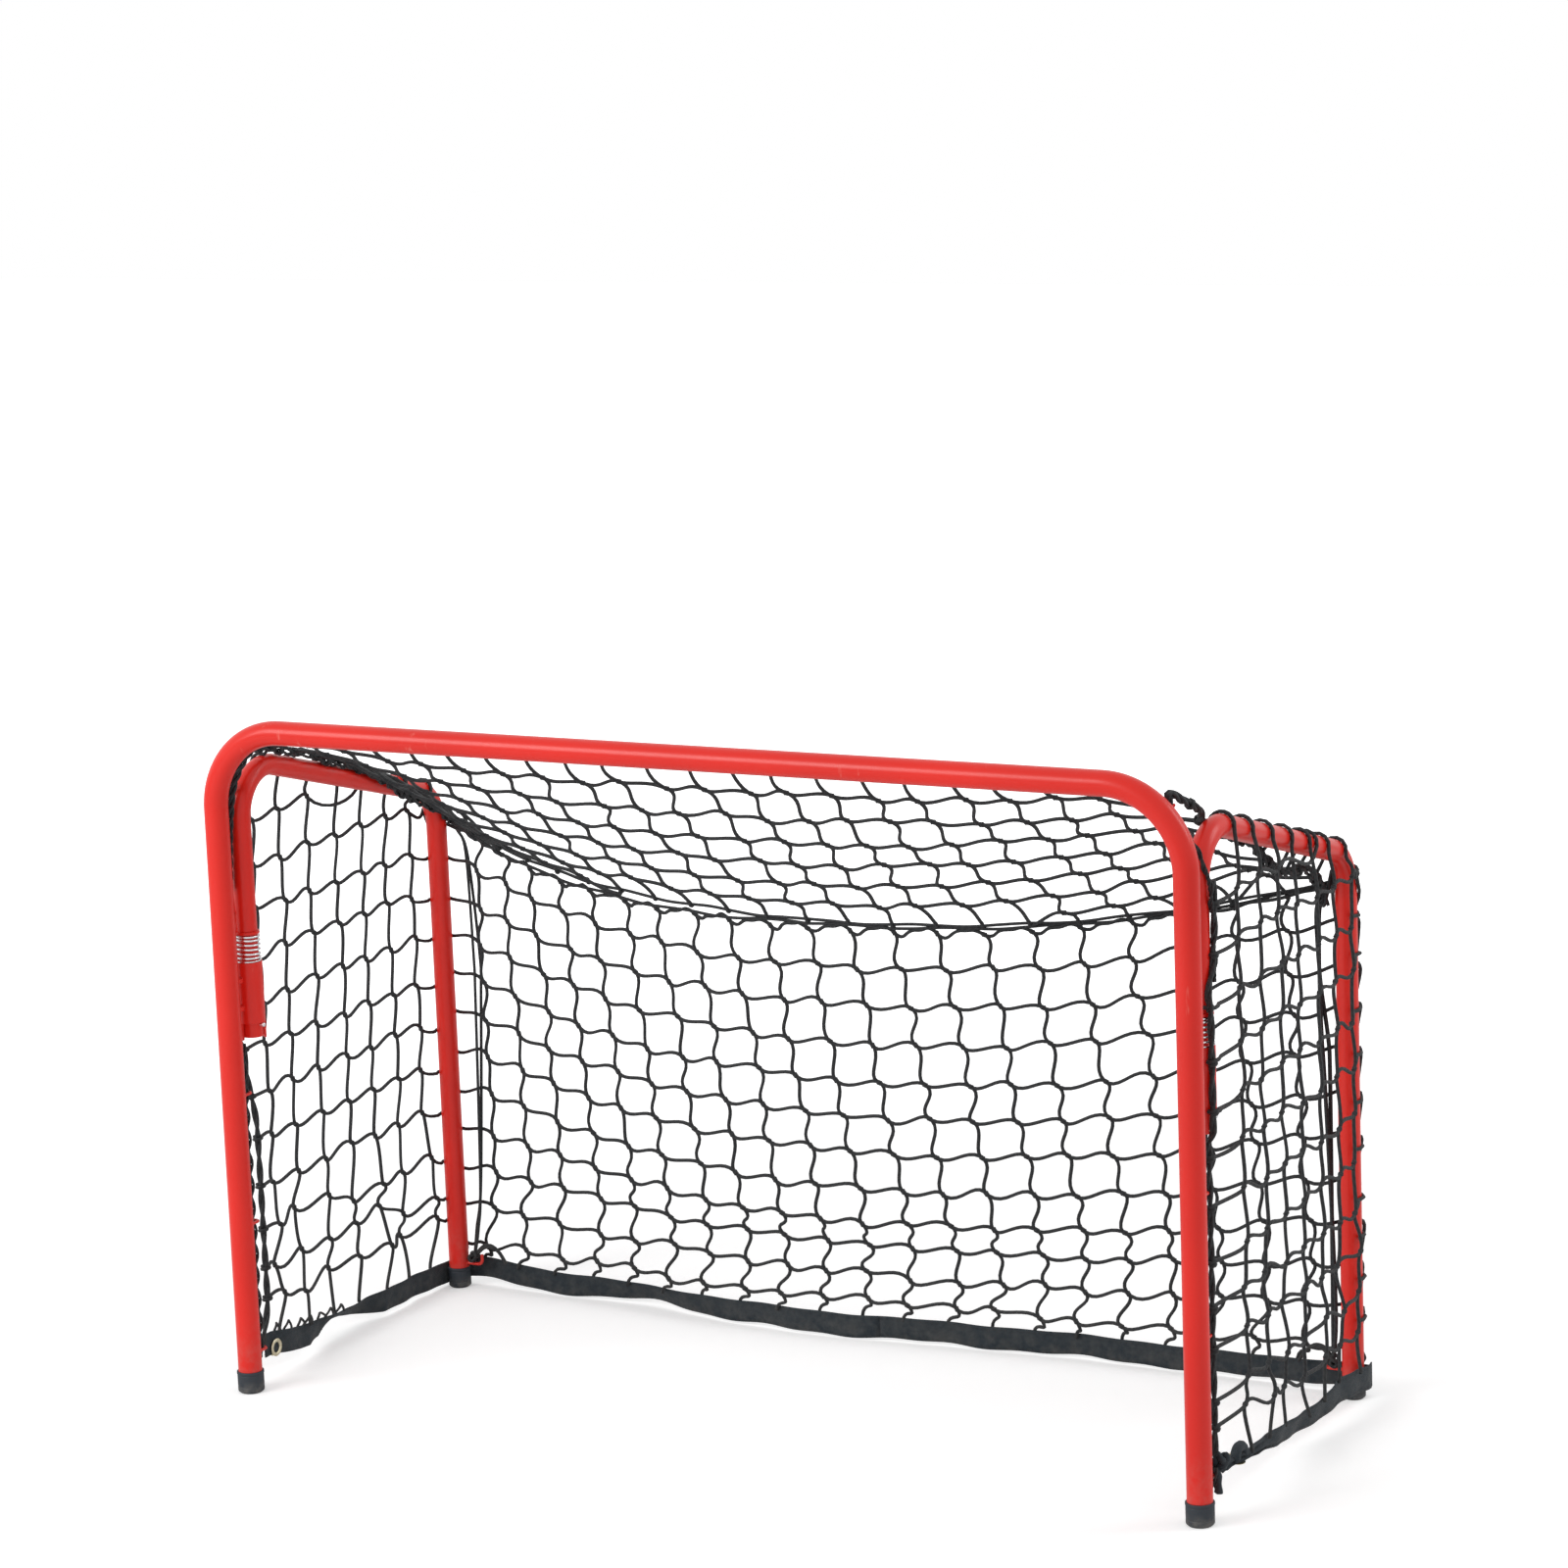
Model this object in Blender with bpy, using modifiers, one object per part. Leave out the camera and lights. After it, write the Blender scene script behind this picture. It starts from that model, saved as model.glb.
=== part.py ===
"""Folding football goal: a bent steel front frame, two sprung swivelling side frames and a box net.

Metres, +Z up. The mouth faces -Y and the net is at +Y. The origin is on the floor, in the middle of
the goal's outline. Left is the -X side, as a player who shoots at the goal sees it.
"""
import math

import bmesh
import bpy
from mathutils import Matrix, Vector

# Overall sizes
GOAL_WIDTH = 1.230
GOAL_HEIGHT = 0.800
LEG_SPACING = 0.451

# Clearances
SEAT_GAP = 0.0003
SLIDE_GAP = 0.0004
SWEEP_GAP = 0.0005

# Front frame tube
POST_DIAMETER = 0.028
POST_WALL = 0.0012
POST_BEND = 0.092

# Side frame tubes
RAIL_DIAMETER = 0.025
RAIL_WALL = 0.0012
RAIL_BEND = 0.055
RAIL_FRONT_HEIGHT = 0.746
RAIL_REAR_HEIGHT = 0.629
HINGE_SETBACK = 0.038
HINGE_INSET = 0.005
RAIL_RECESS = 0.003

# Rubber feet, caps that slip over the tube ends
FOOT_WALL = 0.0012
FOOT_FLOOR = 0.005
FOOT_HEIGHT = 0.026
FOOT_CHAMFER = 0.0025

# Swivel hinge
SLEEVE_DIAMETER = 0.032
SLEEVE_LENGTH = 0.092
SLEEVE_BOTTOM = 0.416
WINDOW_HEIGHT = 0.020
WINDOW_LEAD = math.radians(35)
WINDOW_TRAIL = math.radians(12)
FOLD_ANGLE = math.radians(90)
PIN_DIAMETER = 0.005
PIN_PROUD = 0.0018
LUG_HEIGHT = 0.005
LUG_WIDTH = 0.009
LUG_DROPS = {"upper": 0.020, "lower": 0.053}
WASHER_DIAMETER = 0.031
WASHER_THICKNESS = 0.0015
SPRING_WIRE = 0.0026
SPRING_TURNS = 5
SPRING_PITCH = 0.0050
COLLAR_DIAMETER = 0.030
COLLAR_HEIGHT = 0.003

# Welded wire eyes and hooks that hold the net's ropes
EYE_WIRE = 0.0035
ROPE_SETBACK = 0.0215
EYE_DEPTH = 0.0245
EYE_STEPS = 4
EYE_ANGLE = math.radians(45)
POST_EYE_HEIGHTS = (0.045, 0.199, 0.353)
CROSSBAR_EYE_CELLS = (-6, -3, 0, 3, 6)
HOOK_WIRE = 0.004
HOOK_RISE = 0.013
HOOK_BEND = 0.006
HOOK_HEIGHT = 0.031
HOOK_REACH = 0.022

# Net, ropes and hem band
NET_STRAND = 0.0042
NET_THICKNESS = 0.003
BACK_MESHES = (15, 6)
TOP_MESHES = (15, 5)
SIDE_MESHES = (5, 7)
NET_BACK_MIDDLE = 0.504
NET_BACK_CORNER = 0.602
NET_SAG_POWER = 2.6
NET_LIFT = 0.005
NET_FOLD_MARGIN = 0.003
NET_CORNER_INSET = 0.032
ROPE_DIAMETER = 0.006
BORDER_DIAMETER = 0.005
RAIL_ROPE_DIAMETER = 0.007
RAIL_ROPE_ANGLE = math.radians(35)
RAIL_ROPE_START = 0.018
CORNER_ROPE_INSET = 0.014
CORNER_ROPE_STRAIGHT = 0.060
CORNER_ROPE_LEAVE = 0.035
CORNER_ROPE_TURN = 0.015
CROSSBAR_ROPE_ANGLE = math.radians(40)
POST_ROPE_GAP = 0.004
BAND_HEIGHT = 0.028
BAND_THICKNESS = 0.0016
BAND_LIFT_REAR = 0.008
BAND_LIFT_FRONT = 0.030
BAND_WAVE = 0.0035
BAND_WAVES = 3
EYELET_DIAMETER = 0.022
EYELET_BORE = 0.012
EYELET_LIP = 0.0012
EYELET_INSET = 0.044
TIE_DIAMETER = 0.004
TIE_RISE = 0.012

# Facets: steps along a bend or turn, and sides of a round bar as its bevel resolution
BEND_STEPS = 7
TURN_STEPS = 20
SLEEVE_STEPS = 32
WINDOW_STEPS = 10
SPRING_POINTS = 12
GAP_STEPS = 4
BAND_STEPS = 18
POST_ROPE_STEPS = 6
TUBE_SIDES = 7
COPE_SIDES = 8
HOLE_SIDES = 5
PIN_SIDES = 4
ROPE_SIDES = 2
WIRE_SIDES = 1
HOOK_STEPS = 3

# Places that follow from the sizes
POST_R = POST_DIAMETER / 2
RAIL_R = RAIL_DIAMETER / 2
SLEEVE_R = SLEEVE_DIAMETER / 2
ROPE_R = ROPE_DIAMETER / 2
BORDER_R = BORDER_DIAMETER / 2
RAIL_ROPE_R = RAIL_ROPE_DIAMETER / 2
HOOK_R = HOOK_WIRE / 2
EYE_WIRE_R = EYE_WIRE / 2
EYE_R = ROPE_R + SEAT_GAP + EYE_WIRE_R
POST_FOOT_R = POST_R + SEAT_GAP + FOOT_WALL
RAIL_FOOT_R = RAIL_R + SEAT_GAP + FOOT_WALL
POST_X = GOAL_WIDTH / 2 - POST_R
RAIL_X = POST_X - HINGE_INSET
TOP_Z = GOAL_HEIGHT - POST_R
NET_REACH = SWEEP_GAP + BORDER_DIAMETER
TOTAL_DEPTH = POST_FOOT_R + LEG_SPACING + RAIL_FOOT_R + NET_REACH
POST_Y = POST_FOOT_R - TOTAL_DEPTH / 2
HINGE_Y = POST_Y + HINGE_SETBACK
LEG_Y = POST_Y + LEG_SPACING
REACH = LEG_Y - HINGE_Y
RAIL_SLOPE = (RAIL_FRONT_HEIGHT - RAIL_REAR_HEIGHT) / REACH
BACK_FACE = LEG_Y + RAIL_FOOT_R + SWEEP_GAP
BACK_Y = BACK_FACE + NET_THICKNESS / 2
SIDE_FACE = RAIL_X + SLEEVE_R + SWEEP_GAP
SLEEVE_TOP = SLEEVE_BOTTOM + SLEEVE_LENGTH
SPRING_BOTTOM = SLEEVE_TOP + SEAT_GAP + WASHER_THICKNESS + SEAT_GAP
SPRING_R = (RAIL_R + SEAT_GAP + SPRING_WIRE / 2) / math.cos(math.pi / SPRING_POINTS)
SPRING_LENGTH = SPRING_TURNS * SPRING_PITCH + 2 * SPRING_WIRE
COLLAR_BOTTOM = SPRING_BOTTOM + SPRING_LENGTH + SEAT_GAP
PIN_Z = SLEEVE_BOTTOM + WINDOW_HEIGHT - SEAT_GAP - PIN_DIAMETER / 2
ROPE_Y = POST_Y + ROPE_SETBACK
NET_FRONT_Y = ROPE_Y + ROPE_R + SEAT_GAP
NET_FRONT_X = POST_X - NET_CORNER_INSET
RAIL_ROPE_OUT = RAIL_R + SEAT_GAP + RAIL_ROPE_R
RAIL_ROPE_RISE = RAIL_ROPE_OUT * math.sin(RAIL_ROPE_ANGLE)
NET_EDGE = RAIL_ROPE_RISE - RAIL_ROPE_R - SEAT_GAP
NET_OVER_RAIL = max(RAIL_R, RAIL_ROPE_RISE + RAIL_ROPE_R) * math.hypot(1, RAIL_SLOPE) + NET_THICKNESS / 2 + NET_LIFT
FOLD_R = REACH + SLEEVE_R + NET_FOLD_MARGIN
BAND_FACE = RAIL_X + RAIL_FOOT_R + SLIDE_GAP


def clear_scene():
    for item in list(bpy.data.objects):
        bpy.data.objects.remove(item, do_unlink=True)


def make_collection(name):
    collection = bpy.data.collections.new(name)
    bpy.context.scene.collection.children.link(collection)
    return collection


def make_material(name, color, roughness, metallic=0.0):
    material = bpy.data.materials.new(name)
    material.use_nodes = True
    shader = material.node_tree.nodes["Principled BSDF"]
    shader.inputs["Base Color"].default_value = (*color, 1)
    shader.inputs["Roughness"].default_value = roughness
    shader.inputs["Metallic"].default_value = metallic
    return material


def place(name, mesh, material, collection, origin=(0, 0, 0)):
    """Puts a mesh that is made in world coordinates into the scene with its origin at a chosen point."""
    mesh.transform(Matrix.Translation(-Vector(origin)))
    item = bpy.data.objects.new(name, mesh)
    item.location = origin
    mesh.name = name
    mesh.materials.clear()
    mesh.materials.append(material)
    mesh.shade_smooth()
    mesh.set_sharp_from_angle(angle=math.radians(35))
    collection.objects.link(item)
    return item


def mesh_from_curve(curve):
    """Turns a curve into a closed mesh, with its caps welded to its wall."""
    holder = bpy.data.objects.new("holder", curve)
    bpy.context.scene.collection.objects.link(holder)
    bpy.context.view_layer.update()
    graph = bpy.context.evaluated_depsgraph_get()
    mesh = bpy.data.meshes.new_from_object(holder.evaluated_get(graph))
    bpy.data.objects.remove(holder, do_unlink=True)
    bpy.data.curves.remove(curve)
    shape = bmesh.new()
    shape.from_mesh(mesh)
    bmesh.ops.remove_doubles(shape, verts=shape.verts, dist=0.00001)
    bmesh.ops.recalc_face_normals(shape, faces=shape.faces)
    shape.to_mesh(mesh)
    shape.free()
    return mesh


def swept_mesh(path, radius, resolution):
    """Round bar or wire along a list of points."""
    curve = bpy.data.curves.new("sweep", "CURVE")
    curve.dimensions = "3D"
    curve.bevel_depth = radius
    curve.bevel_resolution = resolution
    curve.use_fill_caps = True
    spline = curve.splines.new("POLY")
    spline.points.add(len(path) - 1)
    for point, target in zip(spline.points, path):
        point.co = (*target, 1)
    return mesh_from_curve(curve)


def outline_mesh(points, thickness):
    """Flat plate in the XY plane, centred on z = 0."""
    curve = bpy.data.curves.new("outline", "CURVE")
    curve.dimensions = "2D"
    curve.fill_mode = "BOTH"
    curve.extrude = thickness / 2
    spline = curve.splines.new("POLY")
    spline.points.add(len(points) - 1)
    spline.use_cyclic_u = True
    for point, target in zip(spline.points, points):
        point.co = (*target, 0, 1)
    return mesh_from_curve(curve)


def rounded_path(corners, radius, steps=BEND_STEPS):
    """Runs of tube joined by bends of one centre-line radius."""
    corners = [Vector(corner) for corner in corners]
    path = [corners[0]]
    for before, corner, after in zip(corners, corners[1:], corners[2:]):
        back = (before - corner).normalized()
        ahead = (after - corner).normalized()
        turn = math.pi - back.angle(ahead)
        centre = corner + (back + ahead).normalized() * radius / math.cos(turn / 2)
        start = corner + back * radius * math.tan(turn / 2) - centre
        finish = corner + ahead * radius * math.tan(turn / 2) - centre
        for step in range(steps + 1):
            share = step / steps
            blend = start * math.sin((1 - share) * turn) + finish * math.sin(share * turn)
            path.append(centre + blend / math.sin(turn))
    path.append(corners[-1])
    return path


def cut(item, cutter):
    modifier = item.modifiers.new(cutter.name, "BOOLEAN")
    modifier.operation = "DIFFERENCE"
    modifier.solver = "EXACT"
    modifier.object = cutter


def make_cutter(name, mesh, collection, origin=(0, 0, 0)):
    cutter = bpy.data.objects.new(name, mesh)
    cutter.location = origin
    cutter.hide_render = True
    cutter.display_type = "WIRE"
    collection.objects.link(cutter)
    return cutter


def bent_tube(name, path, diameter, wall, material, parts, cutters, origin=(0, 0, 0)):
    """Tube with its bore cut right through from end to end."""
    overrun = diameter
    first = path[0] + (path[0] - path[1]).normalized() * overrun
    last = path[-1] + (path[-1] - path[-2]).normalized() * overrun
    tube = place(name, swept_mesh(path, diameter / 2, TUBE_SIDES), material, parts, origin)
    bore = swept_mesh([first, *path[1:-1], last], diameter / 2 - wall, TUBE_SIDES)
    cut(tube, make_cutter(name + "_bore", bore, cutters))
    return tube


def turned(name, profile, material, parts, origin, closed=False, steps=TURN_STEPS):
    """Revolves a profile of (radius, height) pairs about the vertical through the origin."""
    shape = bmesh.new()
    verts = [shape.verts.new((radius, 0, height)) for radius, height in profile]
    ring = verts + verts[:1] if closed else verts
    for start, finish in zip(ring, ring[1:]):
        shape.edges.new((start, finish))
    mesh = bpy.data.meshes.new(name)
    shape.to_mesh(mesh)
    shape.free()
    item = place(name, mesh, material, parts)
    item.location = origin
    screw = item.modifiers.new("turn", "SCREW")
    screw.steps = steps
    screw.render_steps = steps
    screw.use_merge_vertices = True
    screw.merge_threshold = 0.00001
    screw.use_smooth_shade = True
    return item


def ring_profile(inner, outer, bottom, top):
    return [(outer, top), (outer, bottom), (inner, bottom), (inner, top)]


def make_front_tube(finish, parts, cutters):
    """Crossbar and both posts, one tube bent twice."""
    foot = FOOT_FLOOR + SEAT_GAP
    corners = [(-POST_X, POST_Y, foot), (-POST_X, POST_Y, TOP_Z), (POST_X, POST_Y, TOP_Z), (POST_X, POST_Y, foot)]
    path = rounded_path(corners, POST_BEND)
    bent_tube("front_frame_tube", path, POST_DIAMETER, POST_WALL, finish, parts, cutters)


def make_foot(name, tube_radius, x, y, rubber, parts):
    """Rubber cap over a tube end, with a chamfered sole."""
    bore = tube_radius + SEAT_GAP
    outer = bore + FOOT_WALL
    profile = [
        (0, FOOT_FLOOR),
        (bore, FOOT_FLOOR),
        (bore, FOOT_HEIGHT),
        (outer, FOOT_HEIGHT),
        (outer, FOOT_CHAMFER),
        (outer - FOOT_CHAMFER, 0),
        (0, 0),
    ]
    turned(name, profile, rubber, parts, (x, y, 0))


def sector_outline(start, sweep, radius):
    """Slice of a disc, from one angle through a sweep."""
    arc = [start + sweep * step / WINDOW_STEPS for step in range(WINDOW_STEPS + 1)]
    return [(0, 0)] + [(radius * math.cos(angle), radius * math.sin(angle)) for angle in arc]


def make_sleeve(side, name, finish, parts, cutters):
    """Hinge sleeve, open at its foot in two windows for the ends of the cross pin."""
    bore = RAIL_R + SLIDE_GAP
    profile = ring_profile(bore, SLEEVE_R, 0, SLEEVE_LENGTH)
    origin = (side * RAIL_X, HINGE_Y, SLEEVE_BOTTOM)
    sleeve = turned(name, profile, finish, parts, origin, closed=True, steps=SLEEVE_STEPS)
    sweep = -(WINDOW_LEAD + FOLD_ANGLE + WINDOW_TRAIL)
    for number, turn in enumerate((0, math.pi)):
        outline = sector_outline(WINDOW_LEAD + turn, sweep, SLEEVE_DIAMETER)
        if side > 0:
            outline = [(-x, y) for x, y in reversed(outline)]
        cutter = outline_mesh(outline, 2 * WINDOW_HEIGHT)
        cut(sleeve, make_cutter(f"{name}_window_{number}", cutter, cutters, origin))


def make_lug(side, name, drop, finish, parts, cutters):
    """Welded plate that holds the sleeve behind the post, coped to both tubes."""
    height = SLEEVE_TOP - drop
    post = Vector((side * POST_X, POST_Y, height))
    hinge = Vector((side * RAIL_X, HINGE_Y, height))
    along = (hinge - post).normalized()
    across = Vector((-along.y, along.x, 0)) * LUG_WIDTH / 2
    corners = [post - across, hinge - across, hinge + across, post + across]
    plate = outline_mesh([corner[:2] for corner in corners], LUG_HEIGHT)
    plate.transform(Matrix.Translation((0, 0, height)))
    lug = place(name, plate, finish, parts)
    for label, centre, radius in (("post", post, POST_R), ("sleeve", hinge, SLEEVE_R)):
        reach = Vector((0, 0, LUG_HEIGHT))
        cope = swept_mesh([centre - reach, centre + reach], radius + SEAT_GAP, COPE_SIDES)
        cut(lug, make_cutter(f"{name}_{label}_cope", cope, cutters))


def hook_mesh(root, outward, reach):
    """Bent wire hook: a straight shank from the tube with its tip turned up."""
    root = Vector(root)
    tip = root + Vector(outward) * reach
    corners = [root + Vector(outward) * SEAT_GAP, tip, tip + Vector((0, 0, HOOK_RISE))]
    return swept_mesh(rounded_path(corners, HOOK_BEND, HOOK_STEPS), HOOK_R, WIRE_SIDES)


def eye_mesh(x, z, across):
    """Wire bent to a U behind the front tube at (x, z), its legs side by side along a direction."""
    across = Vector(across)
    leg = math.sqrt(POST_R**2 - (EYE_R - EYE_WIRE_R) ** 2) + SEAT_GAP
    path = [Vector((x, POST_Y + leg, z)) + across * EYE_R]
    for step in range(EYE_STEPS + 1):
        angle = math.pi * step / EYE_STEPS
        y = POST_Y + EYE_DEPTH + EYE_R * math.sin(angle)
        path.append(Vector((x, y, z)) + across * EYE_R * math.cos(angle))
    path.append(Vector((x, POST_Y + leg, z)) - across * EYE_R)
    return swept_mesh(path, EYE_WIRE_R, WIRE_SIDES)


def bend_point(angle):
    """Centre-line point of the front frame's right bend, from 0 on the post to a quarter turn on the crossbar."""
    x = POST_X - POST_BEND + POST_BEND * math.cos(angle)
    return x, TOP_Z - POST_BEND + POST_BEND * math.sin(angle)


def make_post_eyes(side, label, finish, parts):
    """Eyes up the back of one post, and one at the back of its bend."""
    for number, height in enumerate(POST_EYE_HEIGHTS, 1):
        eye = eye_mesh(side * POST_X, height, (1, 0, 0))
        place(f"{label}_post_eye_{number}", eye, finish, parts)
    x, z = bend_point(EYE_ANGLE)
    across = (side * math.cos(EYE_ANGLE), 0, math.sin(EYE_ANGLE))
    place(f"{label}_bend_eye", eye_mesh(side * x, z, across), finish, parts)


def make_crossbar_eyes(finish, parts):
    """Eyes along the back of the crossbar, each at the middle of a net mesh."""
    pitch = 2 * NET_FRONT_X / TOP_MESHES[0]
    for number, cell in enumerate(CROSSBAR_EYE_CELLS, 1):
        eye = eye_mesh(pitch * cell, TOP_Z, (0, 0, 1))
        place(f"crossbar_eye_{number}", eye, finish, parts)


def rail_path(side):
    """Centre line of a side frame: front leg, sloping top run and rear leg."""
    x = side * RAIL_X
    corners = [
        (x, HINGE_Y, SLEEVE_BOTTOM + RAIL_RECESS),
        (x, HINGE_Y, RAIL_FRONT_HEIGHT),
        (x, LEG_Y, RAIL_REAR_HEIGHT),
        (x, LEG_Y, FOOT_FLOOR + SEAT_GAP),
    ]
    return rounded_path(corners, RAIL_BEND)


def offset_rail(side, outward, outboard):
    """The side frame's centre line moved out of its own bends and away from the goal's middle."""
    path = rail_path(side)
    moved = []
    for number, point in enumerate(path):
        before = path[max(number - 1, 0)]
        after = path[min(number + 1, len(path) - 1)]
        heading = (after - before).normalized()
        normal = Vector((0, -heading.z, heading.y))
        moved.append(point + normal * outward + Vector((side * outboard, 0, 0)))
    return moved


def make_side_tube(side, name, finish, parts, cutters):
    origin = (side * RAIL_X, HINGE_Y, SLEEVE_BOTTOM)
    tube = bent_tube(name, rail_path(side), RAIL_DIAMETER, RAIL_WALL, finish, parts, cutters, origin)
    pin = Vector((PIN_DIAMETER + RAIL_DIAMETER, 0, 0))
    centre = Vector((side * RAIL_X, HINGE_Y, PIN_Z))
    hole = swept_mesh([centre - pin, centre + pin], PIN_DIAMETER / 2 + SEAT_GAP, PIN_SIDES)
    cut(tube, make_cutter(name + "_pin_hole", hole, cutters))


def make_stop_pin(side, name, steel, parts):
    """Cross pin through the side tube, whose ends run in the sleeve's windows."""
    half = Vector((SLEEVE_R + PIN_PROUD, 0, 0))
    centre = Vector((side * RAIL_X, HINGE_Y, PIN_Z))
    pin = swept_mesh([centre - half, centre + half], PIN_DIAMETER / 2, PIN_SIDES)
    place(name, pin, steel, parts, centre)


def make_washer(side, name, steel, parts):
    profile = ring_profile(RAIL_R + SLIDE_GAP, WASHER_DIAMETER / 2, 0, WASHER_THICKNESS)
    turned(name, profile, steel, parts, (side * RAIL_X, HINGE_Y, SLEEVE_TOP + SEAT_GAP), closed=True)


def spring_path():
    """Helix about the origin, with a straight stub one wire long and square to the seat at each end."""
    count = SPRING_TURNS * SPRING_POINTS
    path = [Vector((SPRING_R, 0, 0))]
    for number in range(count + 1):
        angle = 2 * math.pi * number / SPRING_POINTS
        rise = SPRING_WIRE + number / count * SPRING_TURNS * SPRING_PITCH
        path.append(Vector((SPRING_R * math.cos(angle), SPRING_R * math.sin(angle), rise)))
    path.append(path[-1] + Vector((0, 0, SPRING_WIRE)))
    return path


def least_self_gap(path, diameter):
    """Smallest gap between stretches of a tube that are half a turn or more apart along it."""
    fine = []
    for start, finish in zip(path, path[1:]):
        fine.extend(start.lerp(finish, step / GAP_STEPS) for step in range(GAP_STEPS))
    apart = GAP_STEPS * SPRING_POINTS // 2
    gaps = []
    for number, point in enumerate(fine):
        gaps.extend((point - other).length for other in fine[number + apart :])
    return min(gaps) - diameter


def make_spring(side, name, steel, parts):
    path = spring_path()
    print(f"{name}: least gap between turns {least_self_gap(path, SPRING_WIRE) * 1000:.2f} mm")
    if side > 0:
        path = [Vector((-point.x, point.y, point.z)) for point in path]
    item = place(name, swept_mesh(path, SPRING_WIRE / 2, WIRE_SIDES), steel, parts)
    item.location = (side * RAIL_X, HINGE_Y, SPRING_BOTTOM)


def make_collar(side, name, finish, parts):
    """Ring on the side tube that the spring pushes up against."""
    profile = ring_profile(RAIL_R + SEAT_GAP, COLLAR_DIAMETER / 2, 0, COLLAR_HEIGHT)
    turned(name, profile, finish, parts, (side * RAIL_X, HINGE_Y, COLLAR_BOTTOM), closed=True)


def make_rear_hook(side, name, finish, parts):
    root = (side * (RAIL_X - RAIL_R), LEG_Y, HOOK_HEIGHT)
    place(name, hook_mesh(root, (-side, 0, 0), HOOK_REACH), finish, parts)


def back_edge(x):
    """Height of the roof net's back edge, which hangs down between the rear bends."""
    return NET_BACK_MIDDLE + (NET_BACK_CORNER - NET_BACK_MIDDLE) * (abs(x) / RAIL_X) ** NET_SAG_POWER


def net_share(y):
    return (y - NET_FRONT_Y) / (BACK_Y - NET_FRONT_Y)


def hanging_height(x, y):
    """Height of a net drawn straight from the crossbar to its back edge."""
    return TOP_Z + (back_edge(x) - TOP_Z) * net_share(y)


def folding_height(from_hinge):
    """Height at which the net just clears a side frame that folds under it."""
    return RAIL_FRONT_HEIGHT - RAIL_SLOPE * from_hinge + NET_OVER_RAIL


def net_height(x, y):
    """Height of the roof net. It hangs, but rests above the two circles that the side frames fold through."""
    over_bend = max(0.0, abs(x) - (POST_X - POST_BEND))
    drop = POST_BEND - math.sqrt(POST_BEND**2 - over_bend**2)
    height = hanging_height(x, y) - drop * max(0.0, 1 - TOP_MESHES[1] * net_share(y))
    from_hinge = math.hypot(RAIL_X - abs(x), y - HINGE_Y)
    if from_hinge > FOLD_R + SEAT_GAP:
        return height
    return max(height, folding_height(from_hinge))


def net_ridge(x):
    """Depth of the roof's last row but one, at the end of the fold circle where the net has to rest on it."""
    edge = HINGE_Y + math.sqrt(max(0.0, FOLD_R**2 - (RAIL_X - abs(x)) ** 2))
    edge = min(edge, BACK_Y)
    if hanging_height(x, edge) < folding_height(FOLD_R):
        return edge
    return NET_FRONT_Y + (BACK_Y - NET_FRONT_Y) * (1 - 1 / TOP_MESHES[1])


def rope_stretch(x):
    """How much further apart, upright, two lines lie for a set gap where the back edge slopes at x."""
    step = 2 * RAIL_X / BACK_MESHES[0]
    beside = [near for near in (x - step, x + step) if abs(near) < RAIL_X + SEAT_GAP]
    return math.hypot(1, max(abs(back_edge(near) - back_edge(x)) for near in beside) / step)


def back_rope_height(x):
    return back_edge(x) - (NET_THICKNESS / 2 + SEAT_GAP + BORDER_R) * rope_stretch(x)


def lattice(name, meshes, spot, cord, parts, origin=(0, 0, 0)):
    """Net of square meshes. spot maps (u, v), each 0 to 1, to a point of the net's middle surface."""
    columns, rows = meshes
    shape = bmesh.new()
    bmesh.ops.create_grid(shape, x_segments=columns, y_segments=rows, size=0.5)
    for vert in shape.verts:
        vert.co = spot(vert.co.x + 0.5, vert.co.y + 0.5)
    shape.normal_update()
    holes = list(shape.faces)
    bmesh.ops.inset_individual(shape, faces=holes, thickness=NET_STRAND / 2, use_even_offset=True)
    bmesh.ops.delete(shape, geom=holes, context="FACES")
    mesh = bpy.data.meshes.new(name)
    shape.to_mesh(mesh)
    shape.free()
    net = place(name, mesh, cord, parts, origin)
    solidify = net.modifiers.new("thickness", "SOLIDIFY")
    solidify.thickness = NET_THICKNESS
    solidify.offset = 0
    return net


def make_top_net(cord, parts):
    """Roof net, which falls from its ridge to the back rope in its last row."""
    rows_to_ridge = 1 - 1 / TOP_MESHES[1]

    def spot(u, v):
        x = (2 * u - 1) * (NET_FRONT_X + v * (RAIL_X - NET_FRONT_X))
        if v > rows_to_ridge + SEAT_GAP:
            return x, BACK_Y, back_edge(x)
        y = NET_FRONT_Y + (net_ridge(x) - NET_FRONT_Y) * v / rows_to_ridge
        return x, y, net_height(x, y)

    lattice("top_net", TOP_MESHES, spot, cord, parts)


def make_back_net(cord, parts):
    bottom = BAND_LIFT_REAR + BAND_HEIGHT + SEAT_GAP

    def spot(u, v):
        x = (2 * u - 1) * RAIL_X
        top = back_rope_height(x) - (BORDER_R + SEAT_GAP) * rope_stretch(x)
        return x, BACK_Y, bottom + v * (top - bottom)

    lattice("back_net", BACK_MESHES, spot, cord, parts)


def band_lift(y):
    """Height of the side band's lower edge, which rises towards the post."""
    share = (y - POST_Y) / (BACK_FACE - POST_Y)
    return BAND_LIFT_FRONT + (BAND_LIFT_REAR - BAND_LIFT_FRONT) * share


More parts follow.
